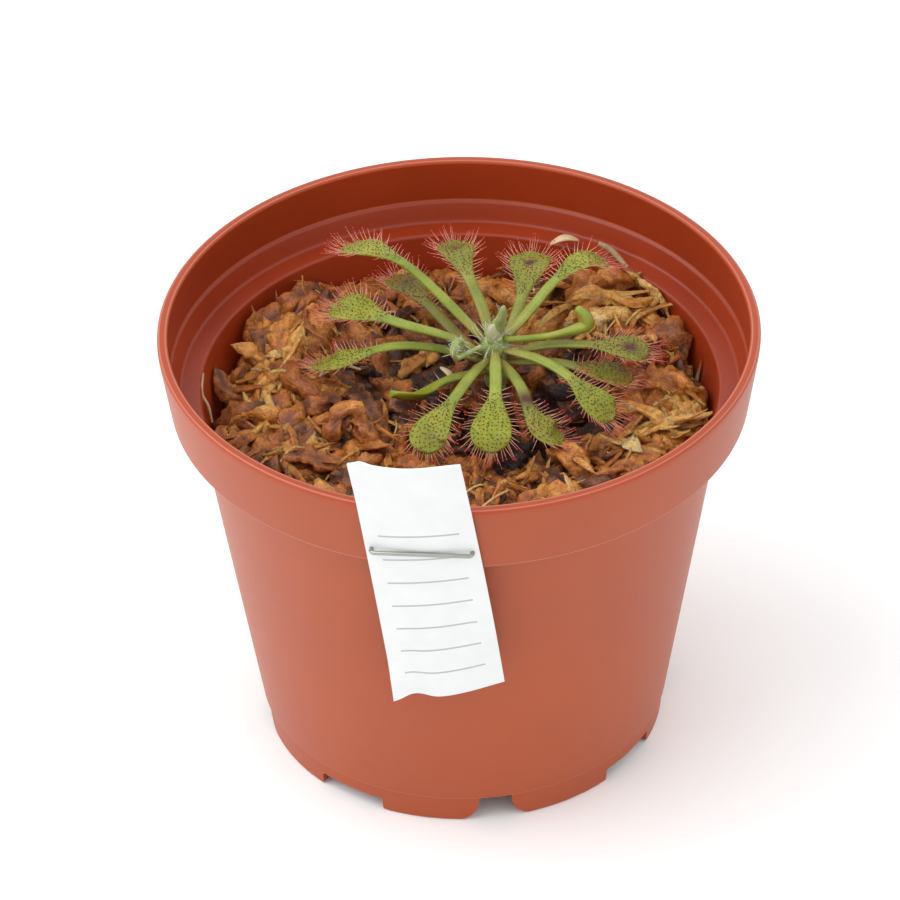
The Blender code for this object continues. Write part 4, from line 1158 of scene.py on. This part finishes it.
def confine(point):
    """Keeps a point of the moss inside the pot's wall."""
    share = min(1.0, (point.z - BASE_EDGE) / (SHOULDER - BASE_EDGE))
    limit = BASE_RADIUS + (BODY_TOP_RADIUS - BASE_RADIUS) * share - WALL - 0.4
    if point.z > SHOULDER + 1.2:
        limit = COLLAR_BOTTOM_RADIUS - 1.8
    flat = math.hypot(point.x, point.y)
    if flat > limit:
        point.x *= limit / flat
        point.y *= limit / flat


def folds(x, y):
    """Soft rounded masses with sharp creases between them, 0 in a crease and about 1 on a crest."""
    drift_x = 4.5 * noise(Vector((x * 0.13, y * 0.13, 1.0)))
    drift_y = 4.5 * noise(Vector((x * 0.13, y * 0.13, 7.0)))
    spot = Vector((x + drift_x, y + drift_y, 0.0))
    large = min(1.0, 2.6 * abs(noise(spot * 0.19)))
    middle = min(1.0, 2.4 * abs(noise(spot * 0.43 + Vector((9.0, 4.0, 2.0)))))
    small = min(1.0, 2.4 * abs(noise(spot * 1.05 + Vector((3.0, 8.0, 5.0)))))
    return 0.50 * large + 0.34 * middle + 0.16 * small


def bed_point(leaves, spot, reach):
    """A point of the moss bed's top, kept under the leaves, and its colour."""
    fold = folds(spot.x, spot.y)
    sink = heaps(HOLLOWS, spot.x, spot.y)
    edge = max(0.0, (reach - MOSS_EDGE + 2.5) / 2.5)
    height = moss_height(spot.x, spot.y) - BED_DROP + FOLD_HEIGHT * fold - sink - 2.0 * edge * edge
    over = leaves.find(Vector((spot.x, spot.y, height)))[0]
    if math.hypot(over.x - spot.x, over.y - spot.y) < BED_SHADOW:
        height = min(height, over.z - BED_CLEARANCE)
    # The tone falls from the fold crests into the creases and hollows, and the second channel marks the
    # creases. Both are painted shade. The bleached patches are the moss's own paler colour.
    tone = clamp(0.12 + 0.44 * fold + 0.8 * heaps(BLEACHED, spot.x, spot.y) - 0.09 * sink, 0.02, 0.9)
    return Vector((spot.x, spot.y, height)), (tone, 0.9 * (1 - fold), 0.5, 1.0)


def make_moss_bed(finish):
    """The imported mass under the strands: a folded top, and a plain side and bottom."""
    leaves = leaf_tree()
    shape = Shape()
    angles = [360 * step / BED_SIDES for step in range(BED_SIDES)]
    loops, shades = [], []
    for ring in range(1, BED_RINGS + 1):
        reach = MOSS_EDGE * ring / BED_RINGS
        top = [bed_point(leaves, around(angle, reach, 0), reach) for angle in angles]
        loops.append([point for point, _ in top])
        shades += [shade for _, shade in top]
    loops += [[around(angle, reach, height) for angle in angles] for height, reach in BED_SIDE]
    shape.rings(loops, [(0.05, 0.5, 0.0, 1.0)] * len(loops), root=UP * loops[0][0].z, tip=UP * BED_BOTTOM)
    shape.colours[:len(shades)] = shades
    for point in shape.points:
        confine(point)
    made = shape.make("moss_bed", finish)
    face_outwards(made)
    declare(made, "moss")


def wrinkled_tube(shape, draw, curve, radii, sides, squash, tint, furrows, depth):
    """A tube with furrows that run along it and slowly twist; its colours are darker in the furrows and
    dents, which is painted shade.
    """
    start = len(shape.points)
    rings = tube_rings(curve, radii, sides, squash=squash, up=LEANING_UP)
    shape.rings(rings, [(tint, 0.0, 0.0, 1.0)] * len(curve))
    seed = draw.uniform(0, 60)
    twist = draw.uniform(-0.25, 0.25)
    for row, middle in enumerate(curve):
        for side in range(sides):
            turn = 2 * math.pi * side / sides + twist * row
            ridge = (math.sin(furrows * turn + seed)
                     + 0.6 * math.sin((furrows + 2) * turn - 1.7 * seed + 0.3 * row))
            index = start + row * sides + side
            point = shape.points[index]
            lump = noise(point * 0.36 + Vector((seed, 0, 0)))
            lump += 0.6 * noise(point * 1.1 + Vector((0, seed, 0)))
            grow = max(0.3, 1 + depth * 0.38 * ridge + depth * 1.5 * lump)
            shape.points[index] = middle + (point - middle) * grow
            # Painted shade: darker in the furrows and dents, paler on the bulges.
            shape.colours[index] = (clamp(tint + 0.10 * lump, 0.02), clamp(0.5 - 0.35 * ridge - 0.4 * lump),
                                    (side / sides + 0.07 * row * twist) % 1.0, 1.0)


def moss_rope(shape, draw, path, radius, tint):
    """A thick soft strand, wrinkled lengthways and drawn out at its ends."""
    curve = smooth_curve(path, ROPE_STATIONS)
    blunt = draw.uniform(0.25, 0.6)
    radii = []
    for index in range(ROPE_STATIONS):
        share = index / (ROPE_STATIONS - 1)
        end = min(1.0, (share + 0.02) / 0.28, (1.02 - share) / 0.34)
        swell = 1 + 0.28 * noise(Vector((index * 0.5, radius * 40, tint * 30)))
        radii.append(radius * swell * (blunt * end + (1 - blunt) * end * end * (3 - 2 * end)))
    squash = draw.uniform(0.6, 0.95)
    wrinkled_tube(shape, draw, curve, radii, ROPE_SIDES, squash, tint, draw.choice((2, 3, 3, 4)), 0.5)
    return curve, radii


def moss_branchlet(shape, draw, root, way, up, length, radius, tint):
    """A flattened side branch that tapers to a bent point."""
    bend = draw.uniform(-0.45, 0.3)
    sway = way.cross(up) * draw.uniform(-0.35, 0.35)
    path = [root + way * (length * share) + (up * bend + sway) * (length * share * share)
            for share in (0.0, 0.2, 0.4, 0.6, 0.8, 0.93, 1.0)]
    radii = [radius * grow for grow in (0.8, 1.0, 0.92, 0.74, 0.5, 0.24, 0.06)]
    wrinkled_tube(shape, draw, path, radii, BRANCHLET_SIDES, draw.uniform(0.35, 0.6), tint, 2, 0.35)


def moss_scale(shape, draw, root, way, up, length, width, tint):
    """A papery scale: cupped across, curled along, with a rounded or pointed end."""
    across = way.cross(up).normalized()
    curl, cup, twist = draw.uniform(-0.25, 0.75), draw.uniform(-0.2, 0.75), draw.uniform(-0.9, 0.9)
    spreads = (0.42, 0.78, 1.0, 0.98, 0.8, 0.5, draw.choice((0.08, 0.1, 0.45)))
    columns = (-1.0, -0.55, 0.0, 0.55, 1.0)
    seed = draw.uniform(0, 40)
    rings = []
    for row, spread in enumerate(spreads):
        share = row / (len(spreads) - 1)
        turn = curl * share * 2
        ahead = way * math.cos(turn) + up * math.sin(turn)
        rise = up * math.cos(turn) - way * math.sin(turn)
        middle = root + (way * share + up * (curl * share * share)) * length
        half = width / 2 * spread * (1 + 0.3 * noise(Vector((row * 0.8, seed, 0))))
        side_way = across * math.cos(twist * share) + rise * math.sin(twist * share)
        face_way = side_way.cross(ahead).normalized()
        upper, lower = [], []
        for column in columns:
            lift = cup * half * column * column + 0.22 * noise(Vector((row * 0.9, column * 1.6, seed)))
            spot = middle + side_way * (half * column) + face_way * lift
            thick = 0.075 if abs(column) < 0.9 else 0.02
            upper.append(spot + face_way * thick)
            lower.append(spot - face_way * thick)
        rings.append(upper + lower[-2:0:-1])
    start = len(shape.points)
    shape.rings(rings, [(tint, 0.2, 0.0, 1.0)] * len(rings))
    sides = len(rings[0])
    # Paler towards the edges of the upper face and darker down the cupped middle; the darkening in the cup is
    # painted shade.
    for index in range(len(rings) * sides):
        side = index % sides
        edge = abs(side - 2) / 2 if side < len(columns) else 0.5
        shape.colours[start + index] = (clamp(tint + 0.12 * edge, 0.02), 0.25 * (1 - edge), side / sides, 1.0)


def lifted_ways(draw, ahead):
    """A way out of a strand that doesn't point down, a way along and out, and one across that."""
    out = ahead.orthogonal().normalized()
    out.rotate(Quaternion(ahead, draw.uniform(0, 2 * math.pi)))
    if out.z < -0.2:
        out.z *= -1
    way = ahead * draw.uniform(0.5, 1.3) * draw.choice((1, 1, -1)) + out * draw.uniform(0.35, 1.0)
    way = Vector((way.x, way.y, 0.45 * way.z)).normalized()
    return out, way, (out - way * out.dot(way)).normalized()


def dress_strand(shape, draw, curve, radii, tint, branches, scales):
    """Clothes a strand in branchlets and scales."""
    last = len(curve) - 1
    for twig in [True] * branches + [False] * scales:
        index = draw.randrange(2, last)
        out, way, face = lifted_ways(draw, (curve[index + 1] - curve[index - 1]).normalized())
        if twig:
            size, girth = draw.uniform(2.6, 6.5), draw.uniform(0.35, 0.7)
            shade = min(0.95, tint + draw.uniform(0.0, 0.22))
            root = curve[index] + out * radii[index] * 0.3
            moss_branchlet(shape, draw, root, way, face, size, girth, shade)
        else:
            size, width = draw.uniform(1.8, 4.0), draw.uniform(1.1, 2.4)
            shade = min(0.95, tint + draw.uniform(-0.10, 0.16))
            root = curve[index] + out * radii[index] * 0.4
            moss_scale(shape, draw, root, way, face, size, width, shade)


def leaf_tree():
    """Where the leaves are, so that the moss stays under them."""
    spots = []
    for leaf in all_leaves():
        for step in range(TREE_STEPS + 1):
            point, _, across, _ = leaf.at(step / TREE_STEPS)
            half = leaf.width(step / TREE_STEPS) / 2
            spots.extend(point + across * (half * side) for side in (-1, 0, 1))
    spots.extend(smooth_curve([CROWN + Vector(point) for point in YOUNG_LEAF], 24))
    tree = KDTree(len(spots))
    for index, spot in enumerate(spots):
        tree.insert(spot, index)
    tree.balance()
    return tree


def clear_of_leaves(leaves, path):
    """How far a path must sink to pass under the leaves."""
    lowered = 0.0
    for point in path:
        for spot, _, _ in leaves.find_range(point, 3.6):
            if math.hypot(spot.x - point.x, spot.y - point.y) < STRAND_SHADOW:
                lowered = max(lowered, point.z - (spot.z - STRAND_CLEARANCE))
    return lowered


def moss_path(draw, leaves, lengths, lift):
    """A bent path that lies on the moss, or nothing where it would close a hollow or touch a leaf."""
    reach = (MOSS_EDGE - 0.6) * math.sqrt(draw.random())
    middle = around(draw.uniform(0, 360), reach, 0)
    if heaps(HOLLOWS, middle.x, middle.y) > 1.4 and draw.random() < (0.85 if lift > 0.5 else 0.45):
        return None
    heading = draw.uniform(0, 2 * math.pi)
    along = Vector((math.cos(heading), math.sin(heading), 0))
    aside = Vector((-along.y, along.x, 0)) * draw.uniform(-2.4, 2.4)
    half = draw.uniform(*lengths) / 2
    rise = lift + draw.uniform(-0.5, 0.9)
    tilt = draw.uniform(-1.2, 1.2)
    path = []
    for share in (-1, -0.5, 0, 0.5, 1):
        spot = middle + along * (half * share) + aside * (1 - share * share)
        flat = math.hypot(spot.x, spot.y)
        if flat > MOSS_EDGE - 1.0:
            spot *= (MOSS_EDGE - 1.0) / flat
        height = moss_height(spot.x, spot.y) - 0.7 - heaps(HOLLOWS, spot.x, spot.y) * 0.9
        path.append(Vector((spot.x, spot.y, height + rise - (1.2 + rise) * share * share + tilt * share)))
    lowered = clear_of_leaves(leaves, path)
    if lowered > MOST_LOWERED:
        return None
    return [point - UP * lowered for point in path]


def moss_fibre(shape, path, radius, tint):
    """A thin stalk with narrowed ends."""
    curve = smooth_curve(path, FIBRE_STATIONS)
    radii = [0.35 * radius] + [radius] * (FIBRE_STATIONS - 2) + [0.35 * radius]
    shape.rings(tube_rings(curve, radii, 5, up=LEANING_UP), [(tint, 0.0, 0.0, 1.0)] * FIBRE_STATIONS)


def make_moss(finish):
    """The strands on the bed: seeded layers, then the ones that stand out, then loose fibres."""
    draw = random.Random(MOSS_SEED)
    leaves = leaf_tree()
    batches = [Shape()]
    for count, lift, girths, lengths, branches, scales in MOSS_LAYERS:
        made = tries = 0
        while made < count and tries < count * 8:
            tries += 1
            path = moss_path(draw, leaves, lengths, lift)
            if path is None:
                continue
            spot = path[2]
            tint = 0.38 + 0.14 * draw.gauss(0, 1) + heaps(BLEACHED, spot.x, spot.y) + 0.07 * lift
            # Strands lying in the hollows are darker: painted shade.
            tint = clamp(tint - 0.08 * heaps(HOLLOWS, spot.x, spot.y), 0.08, 0.92)
            curve, radii = moss_rope(batches[-1], draw, path, draw.uniform(*girths), tint)
            dress_strand(batches[-1], draw, curve, radii, tint, draw.randrange(branches + 1),
                         draw.randrange(scales + 1))
            made += 1
            if len(batches[-1].faces) > BATCH_FACES:
                batches.append(Shape())
    for radius, tint, path in MARKED_STRANDS:
        curve, radii = moss_rope(batches[-1], draw, path, radius, tint)
        dress_strand(batches[-1], draw, curve, radii, tint, 1, 1)
    for _ in range(FIBRES):
        path = moss_path(draw, leaves, (6, 12), 1.6)
        if path is not None:
            moss_fibre(batches[-1], path, draw.uniform(0.09, 0.2), draw.uniform(0.6, 0.98))
    for number, batch in enumerate(batches, 1):
        for point in batch.points:
            confine(point)
        declare(batch.make(f"moss_strands_{number}", finish))


# Loose bits on the moss

def curved_wire(name, points, radii, finish, bevel_sides=3):
    """A round wire or stalk along a line of points, turned into a mesh."""
    curve = bpy.data.curves.new(name, "CURVE")
    curve.dimensions = "3D"
    curve.bevel_depth = MM
    curve.bevel_resolution = bevel_sides
    curve.use_fill_caps = True
    line = curve.splines.new("POLY")
    line.points.add(len(points) - 1)
    for spot, point, radius in zip(line.points, points, radii):
        spot.co = (*place(point), 1.0)
        spot.radius = radius
    activate(linked(name, curve))
    bpy.ops.object.convert(target="MESH")
    made = bpy.context.object
    made.data.materials.clear()
    made.data.materials.append(finish)
    bpy.ops.object.shade_smooth_by_angle(angle=math.radians(WIRE_CREASE))
    return made


def new_grid(name, columns, rows):
    """A flat grid, and its points at shares of its width and height."""
    bpy.ops.mesh.primitive_grid_add(x_subdivisions=columns, y_subdivisions=rows, size=1)
    made = bpy.context.object
    made.name = name
    return made, [(vertex, vertex.co.x + 0.5, vertex.co.y + 0.5) for vertex in made.data.vertices]


def make_flake(name, root, way, size, curl, finish):
    """A thin curled scrap, cupped across and pointed at both ends."""
    made, points = new_grid(name, 12, 6)
    ahead = Vector(way).normalized()
    across = ahead.cross(UP).normalized()
    up = across.cross(ahead)
    length, width = size
    for vertex, along, aside in points:
        side = 2 * aside - 1
        half = width / 2 * math.sin(math.pi * min(0.97, 0.06 + along * 0.9)) ** 0.7
        lift = curl * length * math.sin(math.pi * along) - 0.35 * half * side * side
        vertex.co = place(Vector(root) + ahead * (length * along) + across * (half * side) + up * lift)
    thicken = made.modifiers.new("thickness", "SOLIDIFY")
    thicken.thickness = FLAKE_THICKNESS * MM
    apply_modifier(made, thicken)
    made.data.materials.append(finish)
    bpy.ops.object.shade_smooth()
    declare(made)


def make_loose_bits():
    straw = plain_material("dry_straw", (0.50, 0.33, 0.17), 0.5)
    husk_skin = plain_material("dry_husk", (0.62, 0.47, 0.27), 0.5)
    twig = plain_material("dry_twig", (0.34, 0.27, 0.13), 0.6)
    for name, points, radii, finish in (("loose_twig", LOOSE_TWIG, (0.32, 0.42, 0.36), twig),
                                        ("loose_straw", LOOSE_STRAW, (0.12, 0.2, 0.2, 0.14), straw),
                                        ("loose_fibre", LOOSE_FIBRE, (0.1, 0.22, 0.24, 0.12), husk_skin)):
        curve = smooth_curve(points, LOOSE_STATIONS)
        declare(curved_wire(name, curve, graded(radii, LOOSE_STATIONS), finish))
    for name, root, way, size, curl in LOOSE_FLAKES:
        make_flake(name, root, way, size, curl, husk_skin)


# Label and staple

def label_point(across, along, out):
    """A place on the card, at shares of its width and height, and out from the collar."""
    low = LABEL_BOTTOM_LEFT.lerp(LABEL_BOTTOM_RIGHT, across)
    high = LABEL_TOP_LEFT.lerp(LABEL_TOP_RIGHT, across)
    side, rise = low.lerp(high, along)
    radius = STAPLE_COLLAR + GAP + out + rise * (COLLAR_SLOPE + CARD_LEAN)
    turn = LABEL_ANGLE + math.degrees(side / (STAPLE_COLLAR + 1.0))
    return around(turn, radius, STAPLE_HEIGHT + rise)


def swell(value, middle, reach):
    return math.exp(-((value - middle) / reach) ** 2)


def make_label(finish, edge_finish):
    """The card: its cut ends wave, and two corners and an edge lift off the pot."""
    made, points = new_grid("label_card", CARD_COLUMNS, CARD_ROWS)
    for vertex, across, along in points:
        dip = math.sin(math.pi * across) ** 2
        top_wave = 0.012 * swell(across, 0.12, 0.07) - 0.012 * dip
        low_wave = 0.028 * swell(across, 0.2, 0.13) - 0.008 * dip
        high = along + top_wave * along ** 6 + low_wave * (1 - along) ** 6
        lower_corner = max(0.0, 1 - across / 0.3) * max(0.0, 1 - along / 0.16)
        upper_corner = max(0.0, 1 - across / 0.25) * max(0.0, (along - 0.86) / 0.14)
        edge = max(0.0, (across - 0.8) / 0.2) * swell(along, 0.30, 0.09)
        out = CARD_MIDDLE + 0.6 * lower_corner + 0.3 * upper_corner + 0.35 * edge
        vertex.co = place(label_point(across, high, out))
    made.data.materials.append(finish)
    made.data.materials.append(edge_finish)
    thicken = made.modifiers.new("thickness", "SOLIDIFY")
    thicken.thickness = CARD_THICKNESS * MM
    thicken.offset = 0.0
    thicken.material_offset_rim = 1
    apply_modifier(made, thicken)
    face_outwards(made)
    bpy.ops.object.shade_smooth_by_angle(angle=math.radians(CARD_CREASE))
    declare(made, "label")


def make_staple(finish):
    """The wire: its crown across the card, its legs through the collar and their ends turned in."""
    out = around(LABEL_ANGLE, 1.0, 0.0)
    along = Vector((-out.y, out.x, 0.0))
    crown = STAPLE_COLLAR + GAP + CARD_FACE + STAPLE_WIRE + 0.04
    half = STAPLE_WIDTH / 2
    corners = [(-STAPLE_TURN, STAPLE_REACH + 0.15), (-half + 0.9, STAPLE_REACH)]
    corners += [(-half + 0.6 * (1 - math.sin(turn)), STAPLE_REACH + 0.6 * (1 - math.cos(turn)))
                for turn in STAPLE_BENDS]
    corners += [(-half, crown - 0.7)]
    corners += [(-half + 0.5 * (1 - math.cos(turn)), crown - 0.5 * (1 - math.sin(turn)))
                for turn in STAPLE_BENDS]
    corners += [(-half * 0.5, crown)]
    corners += [(-side, reach) for side, reach in reversed(corners)]
    path = [along * side + out * reach + UP * (STAPLE_HEIGHT + STAPLE_SLOPE * side)
            for side, reach in corners]
    made = curved_wire("staple_wire", path, [STAPLE_WIRE] * len(path), finish, bevel_sides=4)
    declare(made, "staple")


# Floor, light and camera

def make_floor():
    bpy.ops.mesh.primitive_plane_add(size=FLOOR_SIZE, location=(0, 0, -FLOOR_DROP))
    floor = bpy.context.object
    floor.name = "floor"
    made, tree, shader = new_material("pale_floor")
    set_inputs(tree, shader, Base_Color=(0.965, 0.99, 0.995, 1.0), Roughness=0.7)
    floor.data.materials.append(made)


def soft_light(name, spot, size, watts):
    """A rectangular lamp that faces the plant."""
    light = bpy.data.lights.new(name, "AREA")
    light.shape = "RECTANGLE"
    light.size, light.size_y = size
    light.energy = watts
    made = linked(name, light)
    made.location = spot
    made.rotation_euler = (Vector(LIGHT_TARGET) - Vector(spot)).to_track_quat("-Z", "Y").to_euler()


def make_lights():
    world = bpy.data.worlds.new("studio")
    bpy.context.scene.world = world
    world.use_nodes = True
    set_inputs(world.node_tree, world.node_tree.nodes["Background"], Color=(1.0, 1.0, 1.0, 1.0),
               Strength=WORLD_STRENGTH)
    soft_light("key_softbox", *KEY_LIGHT)
    soft_light("fill_softbox", *FILL_LIGHT)


def turned(vectors, axis, degrees):
    spin = Matrix.Rotation(math.radians(degrees), 3, axis)
    return [spin @ vector for vector in vectors]


def make_camera():
    """Looks at the middle of the rim from the fitted place, then pans, tilts and rolls a little."""
    rise = math.radians(CAMERA_ELEVATION)
    back = Vector((0, -math.cos(rise), math.sin(rise)))
    target = Vector(place((0, 0, RIM_HEIGHT)))
    forward, right = -back, Vector((1, 0, 0))
    up = right.cross(forward)
    forward, right = turned((forward, right), up, CAMERA_PAN)
    forward, up = turned((forward, up), right, CAMERA_TILT)
    right, up = turned((right, up), forward, CAMERA_ROLL)
    lens = bpy.data.cameras.new("camera")
    lens.lens = CAMERA_LENS
    lens.sensor_width = CAMERA_SENSOR
    lens.clip_start = 0.01
    made = linked("camera", lens)
    facing = Matrix((right, up, -forward)).transposed().to_4x4()
    made.matrix_world = Matrix.Translation(target + back * (CAMERA_DISTANCE * MM)) @ facing
    bpy.context.scene.camera = made


def main():
    bpy.context.scene.view_settings.view_transform = "Standard"
    make_camera()
    make_floor()
    make_lights()
    make_pot()
    moss = moss_material("moss_fibre_damp", 0.3)
    make_moss_bed(moss)
    make_moss(moss)
    make_loose_bits()
    skin = leaf_material("leaf_skin")
    tentacle = tentacle_material()
    young = young_material()
    silk = plain_material("silky_hair", (0.75, 0.75, 0.68), 0.4)
    make_leaves(skin, tentacle)
    make_crown(young, silk)
    make_young_leaf(skin)
    make_coiled_leaf(young, silk)
    make_label(label_material(), plain_material("card_back", (0.80, 0.81, 0.80), 0.6))
    make_staple(plain_material("staple_steel_wire", (0.34, 0.36, 0.33), 0.30, 1.0, 0.05))


main()
